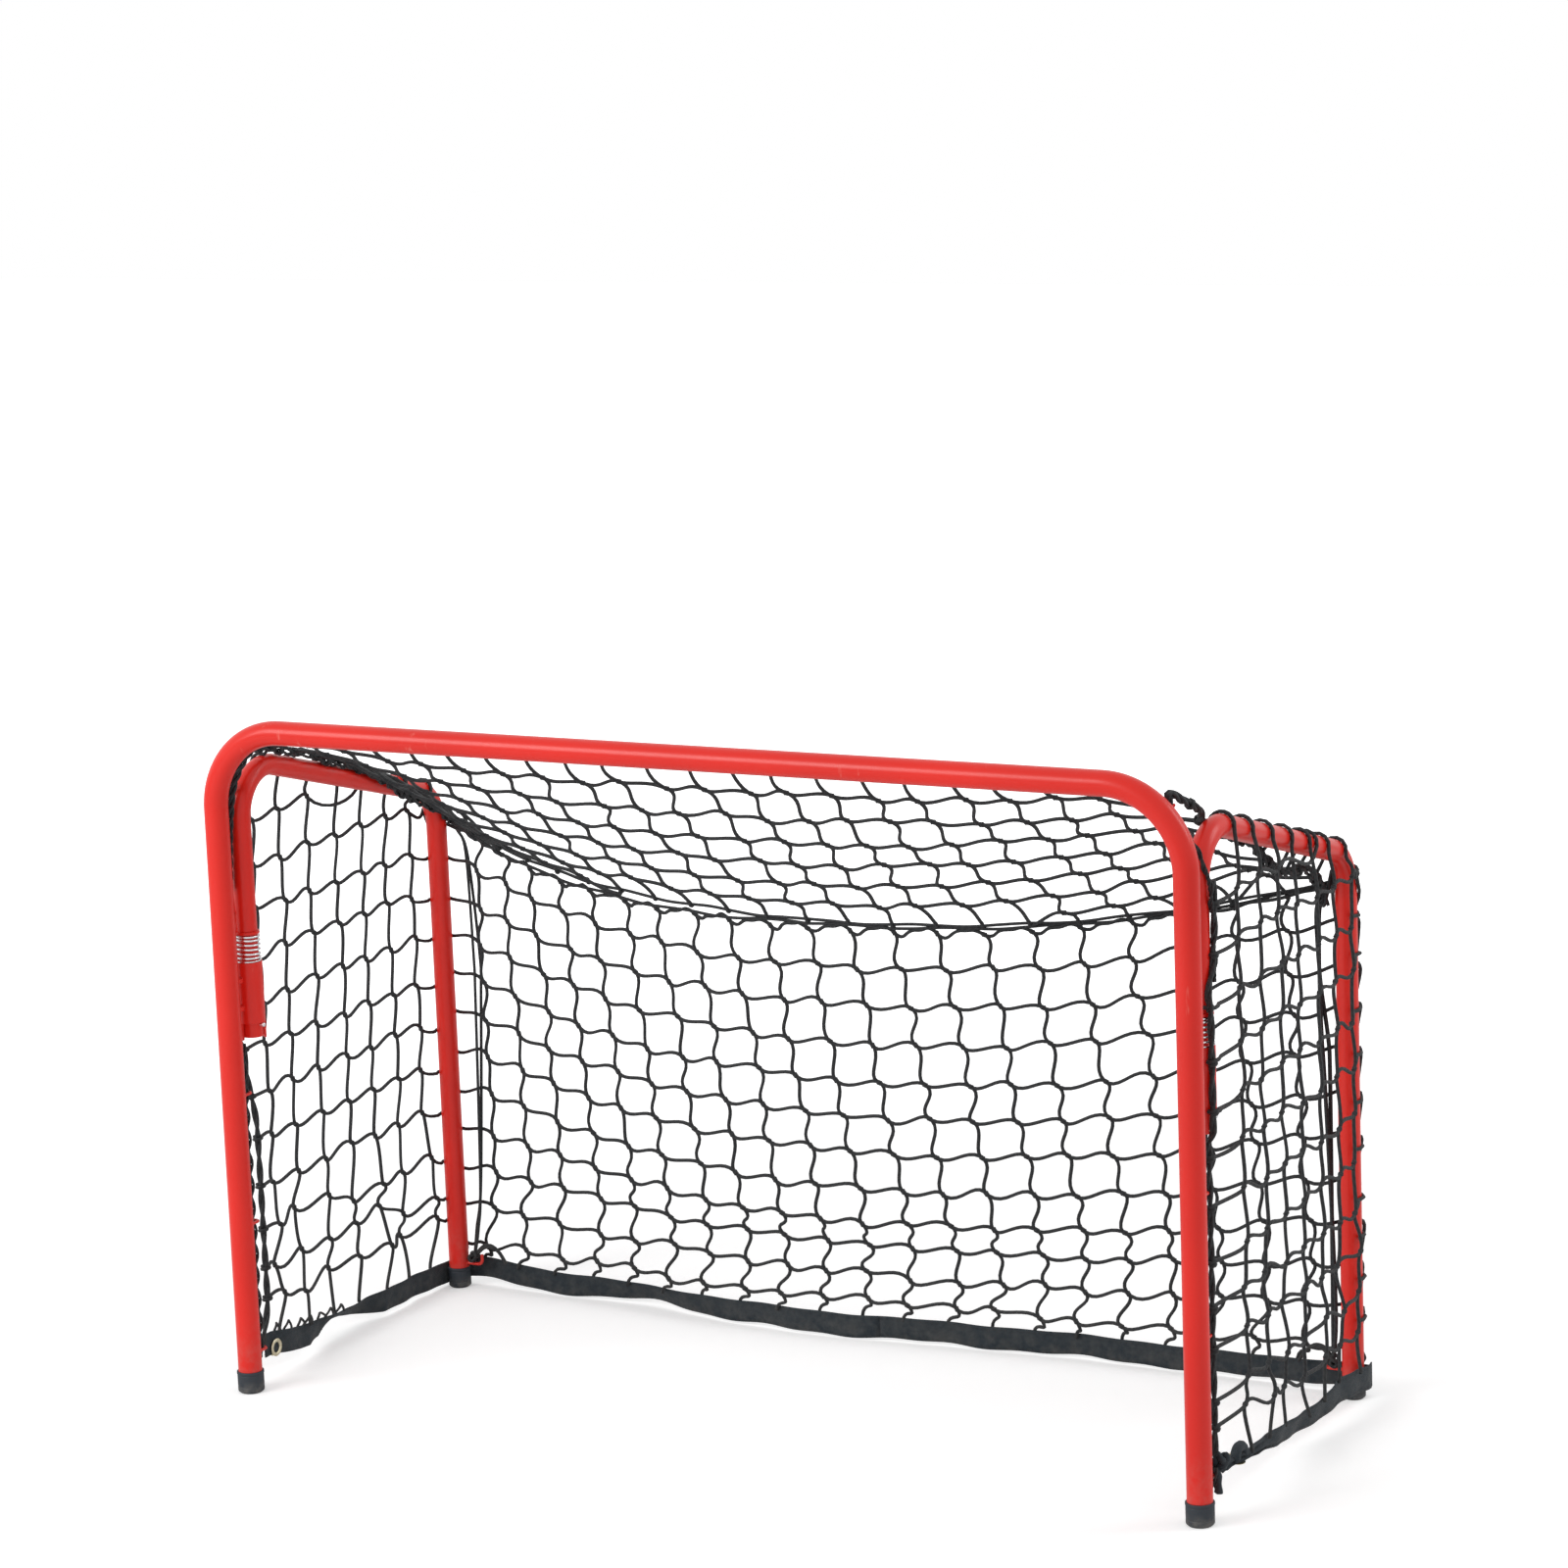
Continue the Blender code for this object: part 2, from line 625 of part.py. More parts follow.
def edge_height(edge, y):
    """Highest point at depth y of an outline given as (x, y, z) points."""
    heights = []
    for start, finish in zip(edge, edge[1:]):
        low, high = sorted((start.y, finish.y))
        if high - low < SEAT_GAP and low - SEAT_GAP <= y <= high + SEAT_GAP:
            heights.append(max(start.z, finish.z))
        elif low <= y <= high:
            heights.append(start.z + (finish.z - start.z) * (y - start.y) / (finish.y - start.y))
    return max(heights)


def make_side_net(side, name, cord, parts):
    """Side net, flat outside the side frame, with its top edge just under the rope on the rail."""
    edge = offset_rail(side, NET_EDGE, 0)
    front = edge[0].y
    back = edge[-1].y
    plane = SIDE_FACE + NET_THICKNESS / 2

    def spot(u, v):
        y = front + u * (back - front)
        bottom = band_lift(y) + BAND_HEIGHT + SEAT_GAP
        leg_top = rail_path(side)[-2].z
        top = leg_top if back - y < SEAT_GAP else edge_height(edge, y)
        return side * plane, y, bottom + v * (top - bottom)

    lattice(name, SIDE_MESHES, spot, cord, parts, (side * RAIL_X, HINGE_Y, 0))


def rope(name, path, diameter, cord, parts, origin=(0, 0, 0)):
    place(name, swept_mesh(path, diameter / 2, ROPE_SIDES), cord, parts, origin)


def make_crossbar_rope(cord, parts):
    """Rope through the eyes behind the crossbar, round both bends and past their eyes."""
    sweep = math.pi / 2 - CROSSBAR_ROPE_ANGLE
    right = [bend_point(CROSSBAR_ROPE_ANGLE + sweep * step / BEND_STEPS) for step in range(BEND_STEPS + 1)]
    path = [(-x, ROPE_Y, z) for x, z in right] + [(x, ROPE_Y, z) for x, z in reversed(right)]
    rope("crossbar_rope", path, ROPE_DIAMETER, cord, parts)


def make_post_rope(side, name, cord, parts):
    """Rope that runs down through the post's eyes, from under the hinge sleeve."""
    x = side * POST_X
    top = SLEEVE_BOTTOM - POST_ROPE_GAP
    bottom = POST_EYE_HEIGHTS[0] - 2 * ROPE_DIAMETER
    path = [(x, ROPE_Y, top + (bottom - top) * step / POST_ROPE_STEPS) for step in range(POST_ROPE_STEPS + 1)]
    rope(name, path, ROPE_DIAMETER, cord, parts)


def make_rail_rope(side, name, cord, parts):
    """Border rope along the outside of the side frame, from above the spring to the rear bend."""
    path = offset_rail(side, RAIL_ROPE_RISE, RAIL_ROPE_OUT * math.cos(RAIL_ROPE_ANGLE))
    start = Vector((path[0].x, path[0].y, COLLAR_BOTTOM + COLLAR_HEIGHT + RAIL_ROPE_START))
    rope(name, [start, *path[1:-1]], RAIL_ROPE_DIAMETER, cord, parts, (side * RAIL_X, HINGE_Y, 0))


def make_corner_rope(side, name, cord, parts):
    """Rope down the rear leg's inner side, with its foot over the rear hook."""
    x = RAIL_X - CORNER_ROPE_INSET
    y = BACK_FACE - SEAT_GAP - ROPE_R
    top = rail_path(side)[-2].z
    seat = HOOK_HEIGHT + HOOK_R + SEAT_GAP + ROPE_R
    hook_x = RAIL_X - RAIL_R - HOOK_REACH / 2
    points = [
        (x, y, top),
        (x, y, seat + CORNER_ROPE_STRAIGHT),
        (x, y, seat + CORNER_ROPE_LEAVE),
        ((x + hook_x) / 2, (y + LEG_Y) / 2, seat + CORNER_ROPE_TURN),
        (hook_x, LEG_Y, seat),
    ]
    path = [(side * px, py, pz) for px, py, pz in points]
    rope(name, path, ROPE_DIAMETER, cord, parts, (side * RAIL_X, HINGE_Y, 0))


def make_back_rope(cord, parts):
    """Rope between the two rear bends, hanging down in the middle with the net."""
    steps = BACK_MESHES[0]
    path = []
    for step in range(steps + 1):
        x = RAIL_X * (2 * step / steps - 1)
        path.append((x, BACK_FACE + BORDER_R, back_rope_height(x)))
    rope("back_rope", path, BORDER_DIAMETER, cord, parts)


def strip(name, path, tape, parts, origin=(0, 0, 0)):
    """Standing band along (x, y, lower edge) points, thickened to its left as it runs."""
    shape = bmesh.new()
    low = [shape.verts.new(point) for point in path]
    for start, finish in zip(low, low[1:]):
        shape.edges.new((start, finish))
    raised = bmesh.ops.extrude_edge_only(shape, edges=shape.edges)["geom"]
    high = [item for item in raised if isinstance(item, bmesh.types.BMVert)]
    bmesh.ops.translate(shape, verts=high, vec=(0, 0, BAND_HEIGHT))
    mesh = bpy.data.meshes.new(name)
    shape.to_mesh(mesh)
    shape.free()
    band = place(name, mesh, tape, parts, origin)
    solidify = band.modifiers.new("thickness", "SOLIDIFY")
    solidify.thickness = BAND_THICKNESS
    solidify.offset = 0
    return band


def make_back_band(tape, parts):
    end = BAND_FACE + BAND_THICKNESS
    y = BACK_FACE + BAND_THICKNESS / 2
    strip("back_band", [(-end, y, BAND_LIFT_REAR), (0, y, BAND_LIFT_REAR), (end, y, BAND_LIFT_REAR)], tape, parts)


def side_band_x(share):
    """Side band's middle, with shallow waves that stand away from the frame."""
    wave = math.sin(math.pi * BAND_WAVES * share) ** 2
    return BAND_FACE + BAND_THICKNESS / 2 + BAND_WAVE * wave


def side_band_front():
    return HINGE_Y - SLEEVE_R


def make_side_band(side, name, tape, parts, cutters):
    """Hem band from the rear foot to the post, with a hole for its eyelet."""
    start = BACK_FACE - SWEEP_GAP
    finish = side_band_front()
    path = []
    for step in range(BAND_STEPS + 1):
        share = step / BAND_STEPS
        y = start + (finish - start) * share
        path.append((side * side_band_x(share), y, band_lift(y)))
    band = strip(name, path, tape, parts, (side * RAIL_X, HINGE_Y, 0))
    centre = eyelet_centre(side)
    reach = Vector((2 * EYELET_DIAMETER, 0, 0))
    hole = swept_mesh([centre - reach, centre + reach], EYELET_BORE / 2 + EYELET_LIP + SEAT_GAP, HOLE_SIDES)
    cut(band, make_cutter(name + "_hole", hole, cutters))


def eyelet_centre(side):
    y = side_band_front() + EYELET_INSET
    share = (BACK_FACE - SWEEP_GAP - y) / (BACK_FACE - SWEEP_GAP - side_band_front())
    return Vector((side * side_band_x(share), y, band_lift(y) + BAND_HEIGHT / 2))


def make_eyelet(side, name, brass, parts):
    """Two-flanged metal eyelet, its neck through the band's hole."""
    bore = EYELET_BORE / 2
    neck = bore + EYELET_LIP
    flange = EYELET_DIAMETER / 2
    inner = BAND_THICKNESS + BAND_WAVE / 2
    half = inner / 2 + EYELET_LIP
    profile = [
        (flange, half),
        (flange, half - EYELET_LIP),
        (neck, half - EYELET_LIP),
        (neck, EYELET_LIP - half),
        (flange, EYELET_LIP - half),
        (flange, -half),
        (bore, -half),
        (bore, half),
    ]
    eyelet = turned(name, profile, brass, parts, eyelet_centre(side), closed=True)
    eyelet.rotation_euler = (0, math.pi / 2, 0)


def make_band_tie(side, name, cord, parts):
    """Short cord from the post's lowest eye to the band's end."""
    radius = TIE_DIAMETER / 2
    eye_x = POST_X + EYE_R + EYE_WIRE_R + SEAT_GAP + radius
    front = side_band_front() - SEAT_GAP - radius
    height = POST_EYE_HEIGHTS[0]
    x = BAND_FACE + BAND_THICKNESS / 2
    points = [
        (eye_x, front, height + TIE_RISE),
        (eye_x, front, height),
        (x, front, height - radius),
        (x, front, band_lift(front)),
    ]
    rope(name, [(side * px, py, pz) for px, py, pz in points], TIE_DIAMETER, cord, parts)


def main():
    clear_scene()
    parts = make_collection("folding_goal")
    cutters = make_collection("cutters")
    red = make_material("red_paint", (0.78, 0.05, 0.03), 0.3)
    rubber = make_material("black_rubber", (0.03, 0.03, 0.035), 0.75)
    zinc = make_material("bright_zinc", (0.80, 0.81, 0.84), 0.28, 1.0)
    brass = make_material("pale_brass", (0.80, 0.74, 0.52), 0.30, 1.0)
    cord = make_material("black_cord", (0.012, 0.013, 0.015), 0.85)
    tape = make_material("black_tape", (0.020, 0.024, 0.032), 0.9)

    make_front_tube(red, parts, cutters)
    make_crossbar_eyes(red, parts)
    make_crossbar_rope(cord, parts)
    make_top_net(cord, parts)
    make_back_net(cord, parts)
    make_back_rope(cord, parts)
    make_back_band(tape, parts)
    for label, side in (("left", -1), ("right", 1)):
        make_foot(f"{label}_front_foot", POST_R, side * POST_X, POST_Y, rubber, parts)
        make_sleeve(side, f"{label}_hinge_sleeve", red, parts, cutters)
        for place_name, drop in LUG_DROPS.items():
            make_lug(side, f"{label}_{place_name}_lug", drop, red, parts, cutters)
        make_post_eyes(side, label, red, parts)
        make_post_rope(side, f"{label}_post_rope", cord, parts)
        make_band_tie(side, f"{label}_band_tie", cord, parts)
        make_washer(side, f"{label}_spring_washer", zinc, parts)
        make_spring(side, f"{label}_hinge_spring", zinc, parts)
        make_side_tube(side, f"{label}_side_tube", red, parts, cutters)
        make_stop_pin(side, f"{label}_stop_pin", zinc, parts)
        make_collar(side, f"{label}_spring_collar", red, parts)
        make_foot(f"{label}_rear_foot", RAIL_R, side * RAIL_X, LEG_Y, rubber, parts)
        make_rear_hook(side, f"{label}_rear_hook", red, parts)
        make_side_net(side, f"{label}_side_net", cord, parts)
        make_rail_rope(side, f"{label}_rail_rope", cord, parts)
        make_corner_rope(side, f"{label}_corner_rope", cord, parts)
        make_side_band(side, f"{label}_side_band", tape, parts, cutters)
        make_eyelet(side, f"{label}_band_eyelet", brass, parts)


main()
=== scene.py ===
"""Surfaces, wires, cords and nets of the folding goal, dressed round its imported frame.

Metres, +Z up, in the frame's own coordinates: the mouth faces -Y, and left is the -X side. Every finished
piece keeps its object at the origin and its place in its mesh.
"""
import math
import random

import bmesh
import bpy
import numpy
from bpy.props import FloatProperty, FloatVectorProperty, IntProperty, PointerProperty
from bpy.types import Operator, Panel, PropertyGroup
from mathutils import Matrix, Vector


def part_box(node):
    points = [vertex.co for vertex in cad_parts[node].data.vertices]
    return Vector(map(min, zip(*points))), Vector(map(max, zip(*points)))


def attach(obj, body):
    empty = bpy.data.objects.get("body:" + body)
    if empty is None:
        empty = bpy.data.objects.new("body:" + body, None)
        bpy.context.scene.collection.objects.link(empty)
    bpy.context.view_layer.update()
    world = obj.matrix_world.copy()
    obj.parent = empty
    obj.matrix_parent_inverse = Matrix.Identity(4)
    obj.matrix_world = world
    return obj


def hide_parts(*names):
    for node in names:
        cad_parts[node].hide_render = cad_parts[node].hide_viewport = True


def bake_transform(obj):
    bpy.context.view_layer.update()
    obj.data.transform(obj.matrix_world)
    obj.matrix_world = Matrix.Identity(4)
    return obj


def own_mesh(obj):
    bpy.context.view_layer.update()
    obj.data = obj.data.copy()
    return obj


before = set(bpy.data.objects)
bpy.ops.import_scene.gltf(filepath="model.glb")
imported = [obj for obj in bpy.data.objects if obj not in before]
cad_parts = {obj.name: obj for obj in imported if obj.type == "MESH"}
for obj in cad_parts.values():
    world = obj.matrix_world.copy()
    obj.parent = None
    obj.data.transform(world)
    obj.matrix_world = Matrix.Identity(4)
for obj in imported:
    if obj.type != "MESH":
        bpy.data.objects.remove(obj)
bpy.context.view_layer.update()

bl_info = {
    "name": "Folding Goal",
    "version": (1, 0, 0),
    "blender": (4, 5, 0),
    "location": "3D View > Sidebar > Goal",
    "description": "Painted tubes, hinges, ropes, knotted net and hem of a folding goal",
    "category": "Object",
}

SIDES = (("left", -1), ("right", 1))
UP = Vector((0, 0, 1))


def middle(node):
    low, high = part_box(node)
    return (low + high) / 2


# Places that the frame gives
POST_X = middle("right_front_foot").x
POST_Y = middle("right_front_foot").y
POST_FOOT_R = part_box("right_front_foot")[1].x - POST_X
RAIL_X = middle("right_rear_foot").x
LEG_Y = middle("right_rear_foot").y
RAIL_FOOT_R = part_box("right_rear_foot")[1].y - LEG_Y
FOOT_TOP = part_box("right_rear_foot")[1].z
HINGE_Y = middle("right_hinge_sleeve").y
SLEEVE_LOW, SLEEVE_HIGH = (corner.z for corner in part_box("right_hinge_sleeve"))
SLEEVE_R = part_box("right_hinge_sleeve")[1].x - RAIL_X
SPRING_LOW, SPRING_HIGH = (corner.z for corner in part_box("right_hinge_spring"))
TUBE_LOW, TUBE_TOP = (corner.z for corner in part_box("front_frame_tube"))
RAIL_LOW = SLEEVE_LOW + 0.003
ROPE_Y = middle("right_post_rope").y
BACK_Y = middle("back_net").y
BACK_ROPE_Y = middle("back_rope").y
SIDE_NET_X = middle("right_side_net").x
BAND_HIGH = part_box("back_band")[1].z

# Lengths that many pieces share: the gap at a fit, and the distances at which points count as one
GAP = 0.0003
MERGE = 0.00001
TINY = 1e-9
# Distances between the points of a line, from the border ropes down to the smallest knots
ROPE_STEP = 0.01
EDGE_STEP = 0.006
BORDER_STEP = 0.005
CORD_STEP = 0.004
TIE_STEP = 0.003
KNOT_STEP = 0.0025

# Routes of the soft pieces by side, -1 left and 1 right, as (depth, height) from the rear or the front on
BUNDLES = {
    -1: (0.585, [
        (-0.1832, 0.7573), (-0.1296, 0.7478), (-0.0573, 0.7270), (-0.0115, 0.7107), (0.0350, 0.6941),
        (0.0911, 0.6675), (0.1484, 0.6403), (0.2070, 0.6153), (0.2330, 0.5930),
    ]),
    1: (0.573, [
        (-0.1250, 0.7300), (-0.0755, 0.7177), (-0.0228, 0.6881), (0.0047, 0.6870), (0.0422, 0.6578),
        (0.0642, 0.6468), (0.0863, 0.6335), (0.1204, 0.6266), (0.1609, 0.6229), (0.1838, 0.6093),
        (0.2011, 0.5990), (0.2093, 0.5837), (0.2177, 0.5706),
    ]),
}
FRONT_TIES = {
    -1: [(0.580, -0.1970, 0.7560)],
    1: [
        (0.576, -0.2095, 0.7760), (0.582, -0.1900, 0.7655),
        (0.586, -0.1620, 0.7520), (0.582, -0.1420, 0.7400),
    ],
}
# Loose end of the left front tie, which hangs down beside the front leg
TIE_DROP = [
    (0.588, -0.1600, 0.7560), (0.590, -0.1816, 0.7440), (0.592, -0.2017, 0.7200), (0.594, -0.2080, 0.6955),
    (0.600, -0.2075, 0.6500), (0.6045, -0.2065, 0.5950),
]
CORNER_CORDS = {
    -1: [(0.569, 0.582), (0.558, 0.552), (0.551, 0.428), (0.552, 0.369), (0.562, 0.138), (0.570, 0.075)],
    1: [(0.560, 0.560), (0.561, 0.482), (0.566, 0.415), (0.568, 0.370), (0.571, 0.200), (0.572, 0.090)],
}
NET_DEPTHS = {
    -1: [-0.140, -0.084, -0.025, 0.033, 0.085, 0.139, 0.191],
    1: [-0.125, -0.072, -0.020, 0.0335, 0.086, 0.139, 0.190],
}
FRONT_EDGE_Y = -0.1950
# Where the side nets and the back net meet outside the rear legs, as half the width and the depth
CORNER_NET = (0.6005, 0.2386)
BAND_EDGES = {
    -1: [
        (0.224, 0.0317), (0.157, 0.0335), (0.068, 0.0353), (0.0095, 0.0345), (-0.0475, 0.0371),
        (-0.103, 0.0419), (-0.136, 0.0482), (-0.163, 0.0529),
    ],
    1: [
        (0.224, 0.0400), (0.198, 0.0440), (0.139, 0.0488), (0.088, 0.0435), (0.032, 0.0425),
        (-0.036, 0.0503), (-0.084, 0.0518), (-0.131, 0.0530), (-0.150, 0.0560),
    ],
}
BAND_FEET = {
    -1: [
        (0.221, 0.005), (0.1545, 0.007), (0.077, 0.009), (0.032, 0.0257), (0.009, 0.032),
        (-0.025, 0.034), (-0.049, 0.0195), (-0.084, 0.0133), (-0.172, 0.0185),
    ],
    1: [
        (0.224, 0.005), (0.198, 0.008), (0.138, 0.021), (0.0785, 0.0235), (0.020, 0.028),
        (-0.037, 0.0324), (-0.093, 0.0368), (-0.148, 0.0465),
    ],
}
# Rows of the back net above its hem, as shares of the way to the rope
ROW_HEIGHTS = (
    0.0, 0.040, 0.109, 0.189, 0.244, 0.333, 0.430, 0.517, 0.609, 0.704, 0.7985, 0.892, 0.985, 1.0,
)
# Depths of the small loops on the left band, and how far and how steeply each side's eyelet hangs
BAND_LOOPS = (-0.018, -0.041, -0.058, -0.086, -0.101, -0.129, -0.151)
EYELET_SHIFTS = {-1: Vector((0.0006, 0.0030, -0.0095)), 1: Vector((-0.008, 0.021, 0.0040))}
EYELET_TURNS = {-1: math.pi / 2, 1: math.radians(8)}


def length(name, description, default):
    return FloatProperty(name=name, description=description, default=default, unit="LENGTH")


def color(name, description, default):
    return FloatVectorProperty(name=name, description=description, default=default, subtype="COLOR", size=3)


class GoalTubes(PropertyGroup):
    """Sizes of the steel work."""

    post: length("Post", "Diameter of the front tube", 0.028)
    post_bend: length("Post bend", "Centre-line radius of the front bends", 0.092)
    rail: length("Rail", "Diameter of the side tubes", 0.025)
    rail_bend: length("Rail bend", "Centre-line radius of the side bends", 0.055)
    rail_front: length("Rail front", "Height of the side frame's front corner", 0.746)
    rail_rear: length("Rail rear", "Height of the side frame's rear corner", 0.629)
    eye_wire: length("Eye wire", "Wire of the welded eyes", 0.0035)
    hook_wire: length("Hook wire", "Wire of the rear hooks", 0.004)
    spring_wire: length("Spring wire", "Wire of the springs", 0.0026)


class GoalNet(PropertyGroup):
    """Sizes of the net and its ropes."""

    strand: length("Strand", "Diameter of a net strand", 0.0044)
    knot: length("Knot", "Length of a knot", 0.0082)
    mesh: length("Mesh", "Twine from one knot to the next", 0.054)
    columns: IntProperty(name="Columns", description="Meshes across the roof and back", default=22)
    roof_pitch: length("Roof pitch", "From row to row down the roof", 0.0500)
    rope: length("Rope", "Diameter of the border ropes", 0.006)
    lay: length("Lay", "Length of one turn of a rope's strands", 0.018)
    hem: length("Hem", "Width of the hem tape", 0.028)
    rope_middle: length("Rope middle", "Height of the back rope halfway across", 0.542)
    rope_corner: length("Rope corner", "Height of the back rope at the rear corners", 0.598)
    rope_lean: length("Rope lean", "How far the roof draws the rope's middle forward", 0.170)


class GoalColors(PropertyGroup):
    """Colours of the finishes, as linear values."""

    paint: color("Paint", "Red powder coat", (0.800, 0.019, 0.010))
    rubber: color("Rubber", "Rubber feet", (0.020, 0.027, 0.036))
    cord: color("Cord", "Net twine and ropes", (0.0055, 0.0070, 0.0090))
    tape: color("Tape", "Woven hem tape", (0.010, 0.018, 0.025))
    zinc: color("Zinc", "Plated springs and pins", (0.86, 0.86, 0.88))
    brass: color("Brass", "Eyelets", (0.82, 0.76, 0.56))
    dust: color("Dust", "Dust near the ground", (0.30, 0.27, 0.23))


class Graph:
    """Places and joins the nodes of one shader tree."""

    # Places of the colour sockets on a Mix node
    MIX_SHARE, MIX_FIRST, MIX_SECOND, MIX_RESULT = 0, 6, 7, 2

    def __init__(self, tree):
        self.tree = tree

    def add(self, kind, values=None, **settings):
        node = self.tree.nodes.new(kind)
        for name, value in settings.items():
            setattr(node, name, value)
        for socket, value in (values or {}).items():
            self.feed(node.inputs[socket], value)
        return node

    def feed(self, socket, value):
        if isinstance(value, bpy.types.NodeSocket):
            self.tree.links.new(value, socket)
        elif isinstance(value, (int, float)) or len(value) != 3 or socket.type != "RGBA":
            socket.default_value = value
        else:
            socket.default_value = (*value, 1)

    def math(self, operation, first, second=0.0, clamp=False):
        node = self.add("ShaderNodeMath", {0: first, 1: second}, operation=operation, use_clamp=clamp)
        return node.outputs[0]

    def mix(self, share, first, second):
        node = self.add("ShaderNodeMix", data_type="RGBA")
        self.feed(node.inputs[self.MIX_SHARE], share)
        self.feed(node.inputs[self.MIX_FIRST], first)
        self.feed(node.inputs[self.MIX_SECOND], second)
        return node.outputs[self.MIX_RESULT]

    def ramp(self, value, low, high):
        """0 below low, 1 above high."""
        values = {"Value": value, "From Min": low, "From Max": high}
        return self.add("ShaderNodeMapRange", values, clamp=True).outputs[0]

    def noise(self, where, scale, detail=2.0, roughness=0.5, stretch=None):
        if stretch is not None:
            where = self.add("ShaderNodeMapping", {"Vector": where, "Scale": stretch}).outputs[0]
        values = {"Vector": where, "Scale": scale, "Detail": detail, "Roughness": roughness}
        return self.add("ShaderNodeTexNoise", values).outputs[0]

    def spot(self):
        return self.add("ShaderNodeTexCoord").outputs["Object"]

    def map(self):
        return self.add("ShaderNodeTexCoord").outputs["UV"]


def open_group(name, inputs, outputs):
    """A node group with its inputs and outputs named, ready for its nodes. Colours have three values."""
    number, tint = "NodeSocketFloat", "NodeSocketColor"
    tree = bpy.data.node_groups.new(name, "ShaderNodeTree")
    for label, value in inputs.items():
        tinted = isinstance(value, tuple)
        socket = tree.interface.new_socket(label, in_out="INPUT", socket_type=tint if tinted else number)
        socket.default_value = (*value, 1) if tinted else value
    for label in outputs:
        kind = tint if label == "Color" else number
        tree.interface.new_socket(label, in_out="OUTPUT", socket_type=kind)
    graph = Graph(tree)
    return graph, graph.add("NodeGroupInput").outputs, graph.add("NodeGroupOutput").inputs


def ground_dust_group():
    """Dust that lies thickest at the floor and thins out with height."""
    inputs = {"Color": (0.5, 0.5, 0.5), "Dust": (0.3, 0.27, 0.23), "Reach": 0.06, "Amount": 0.3}
    graph, given, made = open_group("ground_dust", inputs, ["Color", "Mask"])
    spot = graph.spot()
    height = graph.add("ShaderNodeSeparateXYZ", {0: spot}).outputs["Z"]
    near = graph.math("SUBTRACT", 1.0, graph.math("DIVIDE", height, given["Reach"], clamp=True), clamp=True)
    patches = graph.ramp(graph.noise(spot, 70.0, 4.0, 0.6), 0.38, 0.68)
    mask = graph.math("MULTIPLY", graph.math("MULTIPLY", near, patches), given["Amount"])
    graph.feed(made["Color"], graph.mix(mask, given["Color"], given["Dust"]))
    graph.feed(made["Mask"], mask)
    return graph.tree


def wear_and_highlight_group():
    """Fine streaks and rubbed patches in a second colour. They stand for the scuffs that handling leaves on a
    hard surface and, on the red paint, also for painted highlight.
    """
    inputs = {"Color": (0.5, 0.5, 0.5), "Worn_and_lit": (0.8, 0.8, 0.8), "Amount": 0.2, "Roughness": 0.3}
    graph, given, made = open_group("wear_and_highlight", inputs, ["Color", "Roughness", "Mask"])
    spot = graph.spot()
    streaks = graph.ramp(graph.noise(spot, 90.0, 3.0, 0.6, (1.0, 1.0, 0.16)), 0.66, 0.74)
    patches = graph.ramp(graph.noise(spot, 14.0, 2.0), 0.52, 0.66)
    mask = graph.math("MULTIPLY", graph.math("MULTIPLY", streaks, patches), given["Amount"])
    haze = graph.math("MULTIPLY", graph.noise(spot, 26.0, 4.0), 0.12)
    marks = graph.math("ADD", haze, graph.math("MULTIPLY", mask, 0.5))
    rough = graph.math("ADD", given["Roughness"], marks)
    graph.feed(made["Color"], graph.mix(mask, given["Color"], given["Worn_and_lit"]))
    graph.feed(made["Roughness"], rough)
    graph.feed(made["Mask"], mask)
    return graph.tree


def cord_lay_group():
    """Strands that wind round a cord, with fine fibres, on a map that runs once along for each lay."""
    inputs = {"Color": (0.01, 0.01, 0.01), "Lit": (0.05, 0.05, 0.06), "Strands": 2.0}
    graph, given, made = open_group("cord_lay", inputs, ["Color", "Height"])
    place = graph.add("ShaderNodeSeparateXYZ", {0: graph.map()}).outputs
    turns = graph.math("ADD", graph.math("MULTIPLY", place["Y"], given["Strands"]), place["X"])
    swell = graph.math("ABSOLUTE", graph.math("SINE", graph.math("MULTIPLY", turns, math.pi)))
    fibres = graph.noise(graph.spot(), 1500.0, 2.0)
    height = graph.math("ADD", swell, graph.math("MULTIPLY", fibres, 0.25))
    tone = graph.math("MULTIPLY", graph.math("MULTIPLY", swell, swell), graph.ramp(fibres, 0.3, 0.75))
    graph.feed(made["Color"], graph.mix(tone, given["Color"], given["Lit"]))
    graph.feed(made["Height"], height)
    return graph.tree


def tape_weave_group():
    """Plain weave in metres of the piece's own map, with slightly uneven threads."""
    inputs = {"Color": (0.02, 0.03, 0.04), "Lit": (0.06, 0.07, 0.08), "Threads": 1100.0}
    graph, given, made = open_group("tape_weave", inputs, ["Color", "Height"])
    place = graph.add("ShaderNodeSeparateXYZ", {0: graph.map()}).outputs
    across = graph.math("MULTIPLY", place["X"], given["Threads"])
    along = graph.math("MULTIPLY", place["Y"], given["Threads"])
    warp = graph.math("ABSOLUTE", graph.math("SINE", graph.math("MULTIPLY", across, math.pi)))
    weft = graph.math("ABSOLUTE", graph.math("SINE", graph.math("MULTIPLY", along, math.pi)))
    squares = graph.math("ADD", graph.math("FLOOR", across), graph.math("FLOOR", along))
    over = graph.math("ABSOLUTE", graph.math("MODULO", squares, 2.0))
    warp_shown = graph.math("MULTIPLY", over, warp)
    weft_shown = graph.math("MULTIPLY", graph.math("SUBTRACT", 1.0, over), weft)
    height = graph.math("ADD", warp_shown, weft_shown)
    uneven = graph.noise(graph.spot(), 160.0, 3.0)
    tone = graph.math("MULTIPLY", height, graph.ramp(uneven, 0.35, 0.7))
    graph.feed(made["Color"], graph.mix(tone, given["Color"], given["Lit"]))
    graph.feed(made["Height"], height)
    return graph.tree


